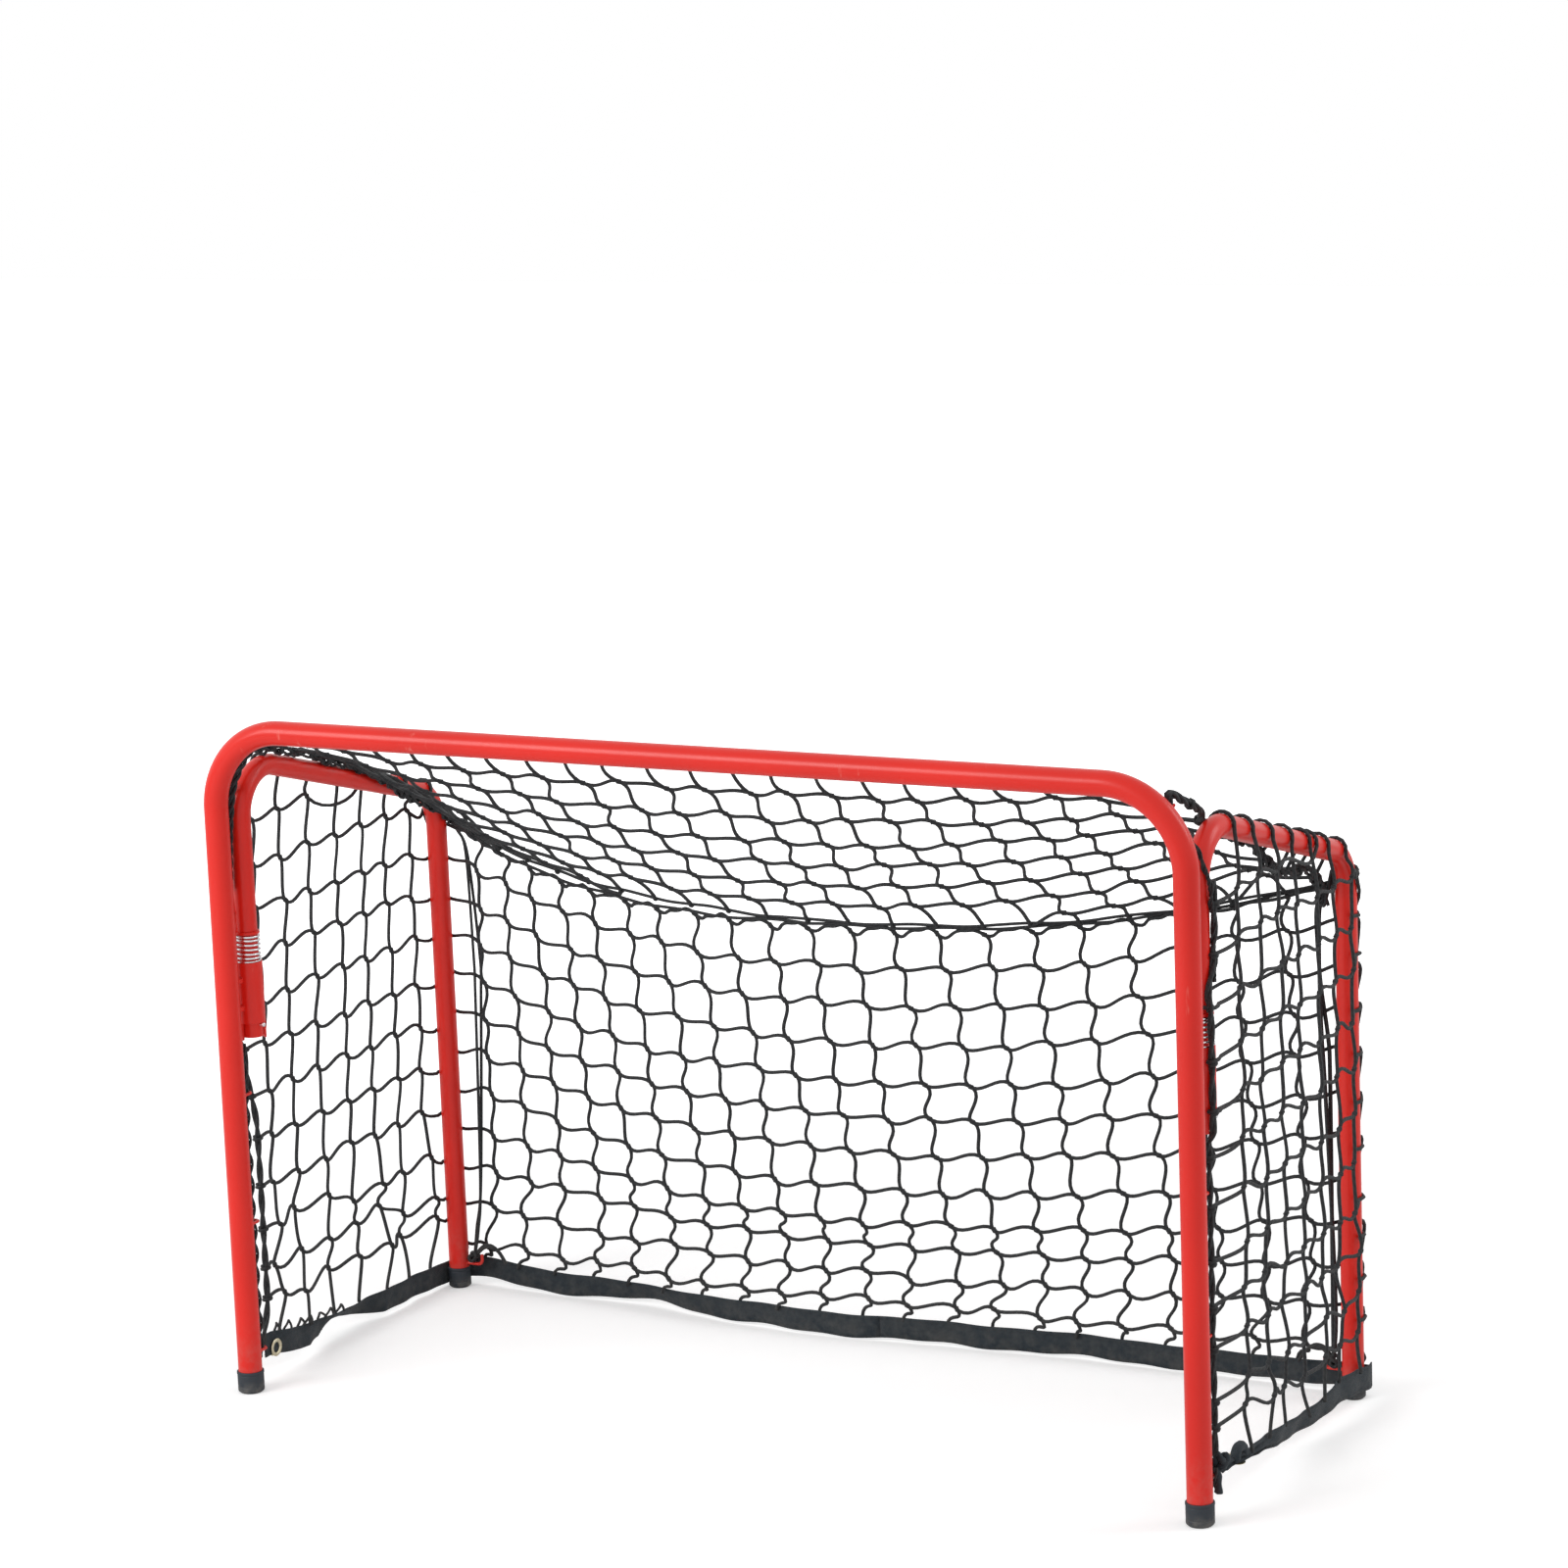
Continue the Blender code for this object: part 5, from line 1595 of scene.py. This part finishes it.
class GOAL_OT_back_net(Operator):
    """Knotted back net, crumpled above the hem and leaning forward to the back rope"""

    bl_idname = "goal.back_net"
    bl_label = "Back net"

    def execute(self, context):
        columns = context.scene.goal_net.columns
        rows = len(ROW_HEIGHTS) - 1
        dice = random.Random(202)
        halves = NetHalves(dice)
        # Towards the sides the rows are evenly spaced: the first one, their pitch and the most
        even_first, even_pitch, even_most = 0.036, 0.0885, 0.990

        def rise(row):
            low = min(max(int(row), 0), rows - 1)
            return ROW_HEIGHTS[low] + (ROW_HEIGHTS[low + 1] - ROW_HEIGHTS[low]) * (row - low)

        def spot(column, row):
            across = 2 * column / columns - 1
            corner = smooth_share((abs(across) - 0.91) / 0.09)
            top = back_rope_point(rope_x(column, columns))
            low = Vector((across * CORNER_NET[0], BACK_Y + 0.0008, BAND_HIGH - 0.002))
            edge = Vector((low.x, CORNER_NET[1], 0))
            share = rise(row)
            if 0 < row < rows:
                even = min(even_first + even_pitch * (row - 1), even_most)
                share += (even - share) * min((across / 0.82) ** 2, 1.0)
            point = (low + hem_shift(low.x)).lerp(top, share)
            point.x += (edge.x - point.x) * corner
            point.y += (edge.y - point.y) * corner
            crumple = max(0.0, 1 - row / 2.7)
            belly = math.sin(math.pi * min(max(row / rows, 0), 1))
            point.x -= 0.026 * crumple * (1 - corner)
            point.y += 0.004 * crumple * math.sin(column * 1.9) + 0.004 * belly
            return point

        def loose(column, row):
            if column in (0, columns):
                return 0.05
            return 0.12 if row <= 2 else 0.06

        grid = knot_grid(spot, range(columns + 1), range(1, rows), dice, loose)
        right = Vector((1, 0, 0))
        for column in range(columns + 1):
            side = halves.side_of(column)
            piece = halves.piece(column)
            knots = [grid[column, row] for row in range(rows - 1, 0, -1)]
            foot = Knot(spot(column, 0) - UP * 0.003, -UP)
            ease = 1.0
            if column in (0, columns):
                ease = 0.25
                knots = knots[1:]
                arc = over_rail(side, halves.rails[side], halves.edges[side], LEG_Y + 0.004)
                piece.join(Knot(arc[0], -UP), knots[0], ease, before=reversed(arc[1:]))
            for here, beyond in zip(knots, [*knots[1:], foot]):
                piece.join(here, beyond, ease)
            piece.tie(knots)
        for row in range(1, rows - 1):
            for column in range(columns):
                halves.piece(column).join(grid[column, row], grid[column + 1, row])
        for column in range(columns):
            piece = halves.piece(column)
            x = (rope_x(column, columns) + rope_x(column + 1, columns)) / 2
            held = Knot(back_rope_point(x) - UP * (rope_gap(x) + 0.0022), right)
            piece.join(grid[column, rows - 1], held, 0.5)
            piece.join(held, grid[column + 1, rows - 1], 0.5)
        halves.finish("back_mesh", "back_net")
        return {"FINISHED"}


class GOAL_OT_side_nets(Operator):
    """Knotted side nets, whose strands run up over the rails"""

    bl_idname = "goal.side_nets"
    bl_label = "Side nets"

    def side_net(self, label, side, net, tubes):
        """One side net, from its front edge at the hinge to the rear leg, on its band."""
        dice = random.Random(303 + side)
        pitch, rows = 0.0545, 14
        row_ease, column_ease, arc_ease = 1.0, 0.55, 0.6
        rail = rail_line(side)
        bundle = smooth_path(bundle_line(side), EDGE_STEP)
        depths = [FRONT_EDGE_Y, *NET_DEPTHS[side], CORNER_NET[1]]
        if side > 0:
            depths.reverse()
        last = len(depths) - 1
        front = 0 if side < 0 else last
        slope = (tubes.rail_front - tubes.rail_rear) / (LEG_Y - HINGE_Y)
        reach = tubes.rail / 2 + net.strand / 2 + GAP
        hinge_reach, margin = 0.0195, 0.01

        def guard(point):
            if SLEEVE_LOW - margin < point.z < SPRING_HIGH + margin and point.y < 0:
                return clear_of_axis(point, side * RAIL_X, HINGE_Y, hinge_reach)
            if point.y > 0 and point.z < SPRING_LOW:
                return clear_of_axis(point, side * RAIL_X, LEG_Y, reach)
            return clear_of(rail, point, reach)

        def depth(column):
            low = min(max(int(column), 0), last - 1)
            return depths[low] + (depths[low + 1] - depths[low]) * (column - low)

        def rail_height(y):
            return tubes.rail_front - slope * (y - HINGE_Y)

        def spot(column, row):
            y = depth(column)
            edge = line_at(BAND_EDGES[side], y)
            level = max(0.012 + pitch * row, 0.040 + 0.045 * row)
            z = level + (edge - 0.040) * (1 - min(max(row / 5, 0.0), 1.0))
            bag = 0.003 * math.sin(math.pi * min(max(column / last, 0.0), 1.0))
            crumple = 0.004 * math.sin(column * 2.1 + row) * max(0.0, 1 - row / 3)
            return Vector((side * (abs(SIDE_NET_X) + bag + crumple), y, z))

        def loose(column, row):
            slack = 0.30 if side < 0 and depth(column) > 0.0 else 0.18
            return slack if row <= 3 else 0.07

        grid = knot_grid(spot, range(1, last), range(1, rows), dice, loose)
        piece = NetPiece(dice, guard)
        kept = {}
        for (column, row), knot in grid.items():
            if knot.point.z < rail_height(knot.point.y) - reach - 0.007:
                kept[column, row] = knot
        for column in range(1, last):
            knots = [kept[column, row] for row in range(rows, 0, -1) if (column, row) in kept]
            arc = over_rail(side, rail, bundle, depth(column))
            foot = Knot(spot(column, 0) - UP * 0.004, -UP)
            piece.join(Knot(arc[0], -UP), knots[0], arc_ease, before=reversed(arc[1:]))
            for here, beyond in zip(knots, [*knots[1:], foot]):
                piece.join(here, beyond, column_ease)
            piece.tie(knots)
        right = Vector((0, -side, 0))
        for row in range(1, rows):
            run = [column for column in range(1, last) if (column, row) in kept]
            if not run:
                continue
            for column in run[:-1]:
                piece.join(kept[column, row], kept[column + 1, row])
            for end, sense in ((run[0], -1), (run[-1], 1)):
                knot = kept[end, row]
                ease = row_ease
                if end + sense == front:
                    point = guard(self.edge_point(side, knot.point.z - sense * 0.006))
                    far = Knot(point, right)
                    piece.hitch(point, UP, 0.0046, right, 1.3)
                    arc = []
                    ease = 0.5
                elif end + sense in (0, last) and knot.point.z < tubes.rail_rear - 0.045:
                    corner = Vector((side * CORNER_NET[0], CORNER_NET[1], knot.point.z - sense * 0.008))
                    far = Knot(corner, right)
                    arc = []
                else:
                    y = HINGE_Y + (tubes.rail_front - knot.point.z) / slope
                    arc = over_rail(side, rail, bundle, min(max(y, HINGE_Y + 0.03), LEG_Y - 0.004))
                    far = Knot(arc[0], UP if sense > 0 else -UP)
                    arc = arc[1:]
                if sense > 0:
                    piece.join(knot, far, ease, after=arc)
                else:
                    piece.join(far, knot, ease, before=reversed(arc))
        heights = [0.046 + 0.012 * step for step in range(54)]
        edge = even_steps([guard(self.edge_point(side, z)) for z in heights], BORDER_STEP)
        piece.cords.add_wound(edge, 2, offset=0.0017, lay=0.07, radius=0.0024)
        if side < 0:
            for y in BAND_LOOPS:
                self.band_loop(piece, side, y, dice)
        piece.cords.finish(f"{label}_side_mesh", f"{label}_side_frame", [f"{label}_side_net"])

    def band_loop(self, piece, side, y, dice):
        """Small slack loop of twine that stands on the band's upper edge."""
        foot = Vector((side * abs(SIDE_NET_X), y, line_at(BAND_EDGES[side], y) - 0.002))
        wide = dice.uniform(0.0050, 0.0085)
        tall = dice.uniform(0.0040, 0.0070)
        lean = dice.uniform(-0.004, 0.004)
        radius = 0.0016
        steps = 24
        line = []
        for step in range(steps + 1):
            angle = math.pi * (step / steps * 1.4 - 0.2)
            across = lean * math.sin(angle) - wide * math.cos(angle)
            line.append(foot + Vector((0.002 * math.sin(angle * 2), across, tall * math.sin(angle) + 0.003)))
        piece.cords.add(line, radius)

    def edge_point(self, side, z):
        """Place on the net's front edge, which passes the hinge on its outer side and bows on the left."""
        x, out, back = 0.6055, 0.0055, 0.0135
        bow = 0.0165 if side < 0 else 0.0
        rise = smooth_share((z - 0.56) / 0.07)
        bowed = smooth_share((z - 0.03) / 0.07) * (1 - smooth_share((z - 0.30) / 0.09))
        return Vector((side * (x + out * rise), FRONT_EDGE_Y + back * rise + bow * bowed, z))

    def execute(self, context):
        net = context.scene.goal_net
        tubes = context.scene.goal_tubes
        for label, side in SIDES:
            self.side_net(label, side, net, tubes)
        return {"FINISHED"}


def tape_shape(lower, upper, gather=None):
    """Standing tape between two lines of points, with its map in metres and its width drawn into pleats."""
    shape = bmesh.new()
    layer = shape.loops.layers.uv.new("UVMap")
    rungs = []
    travelled = [0.0]
    for start, finish in zip(upper, upper[1:]):
        travelled.append(travelled[-1] + (finish - start).length)
    tall = bpy.context.scene.goal_net.hem
    height = 8
    for number, (low, high) in enumerate(zip(lower, upper)):
        ahead = upper[min(number + 1, len(upper) - 1)] - upper[max(number - 1, 0)]
        pleat = ahead.cross(high - low).normalized() * (gather[number] if gather else 0.0)
        rung = []
        for step in range(height + 1):
            push = math.sin(math.pi * step / 2)
            rung.append(shape.verts.new(low.lerp(high, step / height) + pleat * push))
        rungs.append(rung)
    for number, (here, beyond) in enumerate(zip(rungs, rungs[1:])):
        for step in range(height):
            face = shape.faces.new((here[step], beyond[step], beyond[step + 1], here[step + 1]))
            places = ((0, step), (1, step), (1, step + 1), (0, step + 1))
            for loop, (along, up) in zip(face.loops, places):
                loop[layer].uv = (travelled[number + along], tall * up / height)
    return shape


class GOAL_OT_bands(Operator):
    """Woven hem tape round the foot of the net, with its stitching, eyelets and ties"""

    bl_idname = "goal.bands"
    bl_label = "Hem bands"

    def thicken(self, item):
        solid = item.modifiers.new("thickness", "SOLIDIFY")
        solid.thickness = 0.0015
        solid.offset = 0.0

    def stitch(self, upper, lower, share):
        """Thread that runs in and out of the tape along it."""
        half_stitch, depth = 0.0018, 0.00105
        seam = even_steps([low.lerp(high, share) for low, high in zip(lower, upper)], half_stitch)
        line = []
        for number, (point, ahead, _, _) in enumerate(frames_along(seam)):
            out = ahead.cross(UP).normalized()
            line.append(point + out * depth * (1 if number % 4 < 2 else -1))
        return line

    def seams(self, upper, lower):
        """Two rows of stitches near the tape's edges."""
        thread = 0.00035
        threads = Cords()
        for share in (0.12, 0.88):
            threads.add(self.stitch(upper, lower, share), thread)
        return threads.pour(resolution=0)

    def back(self, label, side):
        """Half of the back band, nearly straight, with a faint wave along its lower edge."""
        low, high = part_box("back_band")
        y = (low.y + high.y) / 2
        reach = high.x
        fold, fold_x, fold_width = math.radians(34), -0.31, 0.08
        inset = 0.0006
        upper, lower = [], []
        steps = 70
        for step in range(steps + 1):
            share = step / steps
            x = side * reach * share
            wave = 0.0022 * math.sin(x * 31) + 0.0012 * math.sin(x * 77 + 1)
            point = Vector((x, y + wave * 0.4, high.z - inset + wave * 0.25)) + hem_shift(x)
            lean = fold * math.exp(-(((x - fold_x) / fold_width) ** 2))
            tall = high.z - low.z - 2 * inset - wave * 0.25
            upper.append(point)
            lower.append(point + Vector((0, math.sin(lean) * tall + wave * 0.6, -math.cos(lean) * tall)))
        shape = tape_shape(lower, upper)
        bmesh.ops.recalc_face_normals(shape, faces=shape.faces)
        item = put(f"{label}_back_tape", shape, "black_tape", replaces=["back_band"])
        bend_with_fold(item)
        self.thicken(item)
        seam = put(f"{label}_back_stitches", self.seams(upper, lower), "black_cord", sharp=0)
        bend_with_fold(seam)

    def side_lines(self, label, side):
        """Edges of a side band from its rear foot to its front end, and how far it is drawn into pleats."""
        low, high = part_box(f"{label}_side_band")
        inner = abs(low.x) if side > 0 else abs(high.x)
        tall = bpy.context.scene.goal_net.hem
        front = -0.1790 if side < 0 else -0.1860
        # What a lean takes off the tape's height in the camera's view
        grade = 0.535 if side < 0 else -0.875
        narrowed, pleat = 0.60, 0.0040
        upper, lower, gather = [], [], []
        steps = 110
        for step in range(steps + 1):
            share = step / steps
            y = high.y + (front - high.y) * share
            top = line_at(BAND_EDGES[side], y)
            shown = min(max(top - line_at(BAND_FEET[side], y), 0.002), tall)
            drawn = smooth_share((share - 0.55) / 0.35) if side > 0 else 0.0
            width = tall * (1 - narrowed * drawn)
            size = math.hypot(1, grade)
            lean = math.acos(min(shown / width / size, 1.0)) - math.atan(abs(grade))
            lean = max(lean, 0.0) * (1 if side < 0 else -1)
            wave = 0.0016 * math.sin(share * 23) + 0.0010 * math.sin(share * 51)
            point = Vector((side * (inner + 0.0022) + wave, y, top - 0.0006))
            upper.append(point)
            lower.append(point + Vector((side * math.sin(lean), 0, -math.cos(lean))) * width)
            gather.append(pleat * drawn)
        return upper, lower, gather

    def side_band(self, label, side):
        upper, lower, gather = self.side_lines(label, side)
        shape = tape_shape(lower, upper, gather)
        bmesh.ops.recalc_face_normals(shape, faces=shape.faces)
        item = put(f"{label}_side_tape", shape, "black_tape", f"{label}_side_frame", [f"{label}_side_band"])
        self.thicken(item)
        put(f"{label}_side_stitches", self.seams(upper, lower), "black_cord", f"{label}_side_frame", sharp=0)
        return upper, lower

    def tape_knot(self, label, side, start):
        """Rolled end of the band, knotted and with a tail beside the post, and its fold over the eyelet."""
        rolled, folded, knotted = 0.0034, 0.0058, 0.0062
        out = side * 0.003
        turn_steps, fold_steps = 12, 16
        cords = Cords()
        centre = Vector((start.x, -0.1935, 0.0600))
        line = [start, start + Vector((0, -0.003, 0.001))]
        for step in range(2 * turn_steps + 1):
            angle = 2 * math.pi * step / turn_steps
            wide = knotted + 0.0018 * math.cos(angle * 1.5)
            x = math.cos(angle) * wide * 0.8
            line.append(centre + Vector((x, math.sin(angle * 1.5) * knotted, math.sin(angle) * wide)))
        tail = (
            (0, -0.2010, 0.0530), (side * 0.002, -0.2050, 0.0460),
            (out, -0.2060, 0.0380), (out, -0.2065, 0.0290),
        )
        line += [Vector((start.x + shift, y, z)) for shift, y, z in tail]
        path = smooth_path(line, KNOT_STEP)
        widths = [rolled + 0.0007 * math.sin(number * 0.9) for number in range(len(path))]
        cords.add(path, widths, 1.0)
        fold = []
        for step in range(fold_steps + 1):
            angle = math.pi * (step / fold_steps * 1.25 - 0.1)
            rise = 0.0545 + 0.0085 * math.sin(angle)
            fold.append(Vector((start.x + out, -0.1505 - 0.0110 * math.cos(angle), rise)))
        cords.add(smooth_path(fold, KNOT_STEP), folded, 1.0)
        shape = cords.pour(resolution=3, girth=2 * math.pi * rolled)
        put(f"{label}_tape_knot", shape, "black_tape", f"{label}_side_frame", sharp=0)

    def eyelet(self, label, side):
        """Two rolled flanges round a bore."""
        low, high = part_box(f"{label}_band_eyelet")
        flange = (high.z - low.z) / 2
        bore = flange * 0.55
        half = (high.x - low.x) / 2
        corners = [
            (flange, half - 0.0008), (flange - 0.0010, half), (bore + 0.0008, half),
            (bore, half - 0.0010), (bore, 0.0010 - half), (bore + 0.0008, -half),
            (flange - 0.0010, -half), (flange, 0.0008 - half), (flange - 0.0012, 0.0011 - half),
            (bore + 0.0012, 0.0011 - half), (bore + 0.0012, half - 0.0011),
            (flange - 0.0012, half - 0.0011),
        ]
        profile = rounded(corners, 0.0006, 3)
        shape = turned_shape(profile, 56)
        turn = Matrix.Rotation(EYELET_TURNS[side], 4, "Y")
        centre = (low + high) / 2 + EYELET_SHIFTS[side]
        bmesh.ops.transform(shape, matrix=Matrix.Translation(centre) @ turn, verts=shape.verts)
        name = f"{label}_rolled_eyelet"
        put(name, shape, "pale_brass", f"{label}_side_frame", [f"{label}_band_eyelet"], 60)

    def tie(self, label, side):
        """Short cord from the post's lowest eye to the band's front end."""
        low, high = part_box(f"{label}_band_tie")
        x_eye, x_band = (high.x, low.x) if side > 0 else (low.x, high.x)
        inset = side * 0.002
        y = (low.y + high.y) / 2
        points = [
            (x_eye - inset, y, high.z),
            (x_eye - inset, y, high.z - 0.010),
            ((x_eye + x_band) / 2, y, high.z - 0.014),
            (x_band + inset, y + 0.001, low.z + 0.008),
            (x_band + inset, y + 0.002, low.z + 0.001),
        ]
        cords = Cords()
        cords.add_wound(smooth_path(points, TIE_STEP), 2, offset=0.0013, lay=0.03, radius=0.0014)
        cords.finish(f"{label}_tie_cord", "front_frame", [f"{label}_band_tie"])

    def execute(self, context):
        for label, side in SIDES:
            self.back(label, side)
            upper, lower = self.side_band(label, side)
            if side > 0:
                self.tape_knot(label, side, upper[-1].lerp(lower[-1], 0.5))
            self.eyelet(label, side)
            self.tie(label, side)
        return {"FINISHED"}


class GOAL_OT_stage(Operator):
    """Pale floor, white surroundings and soft lamps"""

    bl_idname = "goal.stage"
    bl_label = "Stage"

    def floor(self):
        shape = bmesh.new()
        bmesh.ops.create_grid(shape, x_segments=1, y_segments=1, size=14)
        mesh = bpy.data.meshes.new("floor")
        shape.to_mesh(mesh)
        shape.free()
        material, graph, shader, _ = open_material("pale_floor")
        set_constants(shader, {"Base Color": (0.86, 0.86, 0.86, 1), "Emission Color": (1, 1, 1, 1)})
        set_constants(shader, {"Roughness": 0.9, "Specular IOR Level": 0.1})
        paths = graph.add("ShaderNodeLightPath").outputs
        place = graph.spot()
        away = graph.add("ShaderNodeVectorMath", {0: place}, operation="LENGTH").outputs["Value"]
        values = {"Value": away, "From Min": 0.9, "From Max": 2.6, "To Min": 0.36, "To Max": 1.0}
        glow = graph.add("ShaderNodeMapRange", values).outputs[0]
        graph.feed(shader.inputs["Emission Strength"], graph.math("MULTIPLY", paths["Is Camera Ray"], glow))
        mesh.materials.append(material)
        floor = bpy.data.objects.new("floor", mesh)
        bpy.context.scene.collection.objects.link(floor)

    def world(self):
        world = bpy.data.worlds.new("surroundings")
        world.use_nodes = True
        graph = Graph(world.node_tree)
        background = world.node_tree.nodes["Background"]
        background.inputs["Color"].default_value = (1, 1, 1, 1)
        paths = graph.add("ShaderNodeLightPath").outputs
        seen = graph.math("MAXIMUM", paths["Is Camera Ray"], paths["Is Transmission Ray"])
        seen = graph.math("MAXIMUM", seen, paths["Is Glossy Ray"])
        strength = graph.add("ShaderNodeMapRange", {"Value": seen, "To Min": 0.62, "To Max": 1.0}).outputs[0]
        graph.feed(background.inputs["Strength"], strength)
        bpy.context.scene.world = world

    def lamp(self, name, spot, size, power):
        light = bpy.data.lights.new(name, "AREA")
        light.shape = "RECTANGLE"
        light.size, light.size_y = size
        light.energy = power
        lamp = bpy.data.objects.new(name, light)
        aim = Vector((0, 0, 0.4))
        lamp.location = spot
        lamp.rotation_euler = (aim - Vector(spot)).to_track_quat("-Z", "Y").to_euler()
        bpy.context.scene.collection.objects.link(lamp)

    def execute(self, context):
        self.floor()
        self.world()
        self.lamp("key", (-2.2, -3.4, 2.3), (2.4, 1.8), 88)
        self.lamp("rim", (3.0, 1.6, 2.6), (1.4, 2.0), 30)
        context.scene.view_settings.view_transform = "Standard"
        return {"FINISHED"}


OPERATORS = (
    GOAL_OT_camera,
    GOAL_OT_tubes,
    GOAL_OT_feet,
    GOAL_OT_hinges,
    GOAL_OT_wires,
    GOAL_OT_ropes,
    GOAL_OT_roof_net,
    GOAL_OT_back_net,
    GOAL_OT_side_nets,
    GOAL_OT_bands,
    GOAL_OT_stage,
)


class GOAL_PT_sidebar(Panel):
    """Lists the goal's pieces and sizes"""

    bl_idname = "GOAL_PT_sidebar"
    bl_label = "Folding Goal"
    bl_space_type = "VIEW_3D"
    bl_region_type = "UI"
    bl_category = "Goal"

    def draw(self, context):
        column = self.layout.column()
        for operator in OPERATORS:
            column.operator(operator.bl_idname)
        for settings in (context.scene.goal_tubes, context.scene.goal_net, context.scene.goal_colors):
            box = self.layout.box()
            for name in settings.__annotations__:
                box.prop(settings, name)


SETTINGS = {"goal_tubes": GoalTubes, "goal_net": GoalNet, "goal_colors": GoalColors}


def register():
    for name, settings in SETTINGS.items():
        bpy.utils.register_class(settings)
        setattr(bpy.types.Scene, name, PointerProperty(type=settings))
    for item in (*OPERATORS, GOAL_PT_sidebar):
        bpy.utils.register_class(item)


def unregister():
    for item in (GOAL_PT_sidebar, *reversed(OPERATORS)):
        bpy.utils.unregister_class(item)
    for name, settings in SETTINGS.items():
        delattr(bpy.types.Scene, name)
        bpy.utils.unregister_class(settings)


def main():
    register()
    for operator in OPERATORS:
        group, name = operator.bl_idname.split(".")
        getattr(getattr(bpy.ops, group), name)()


if __name__ == "__main__":
    main()
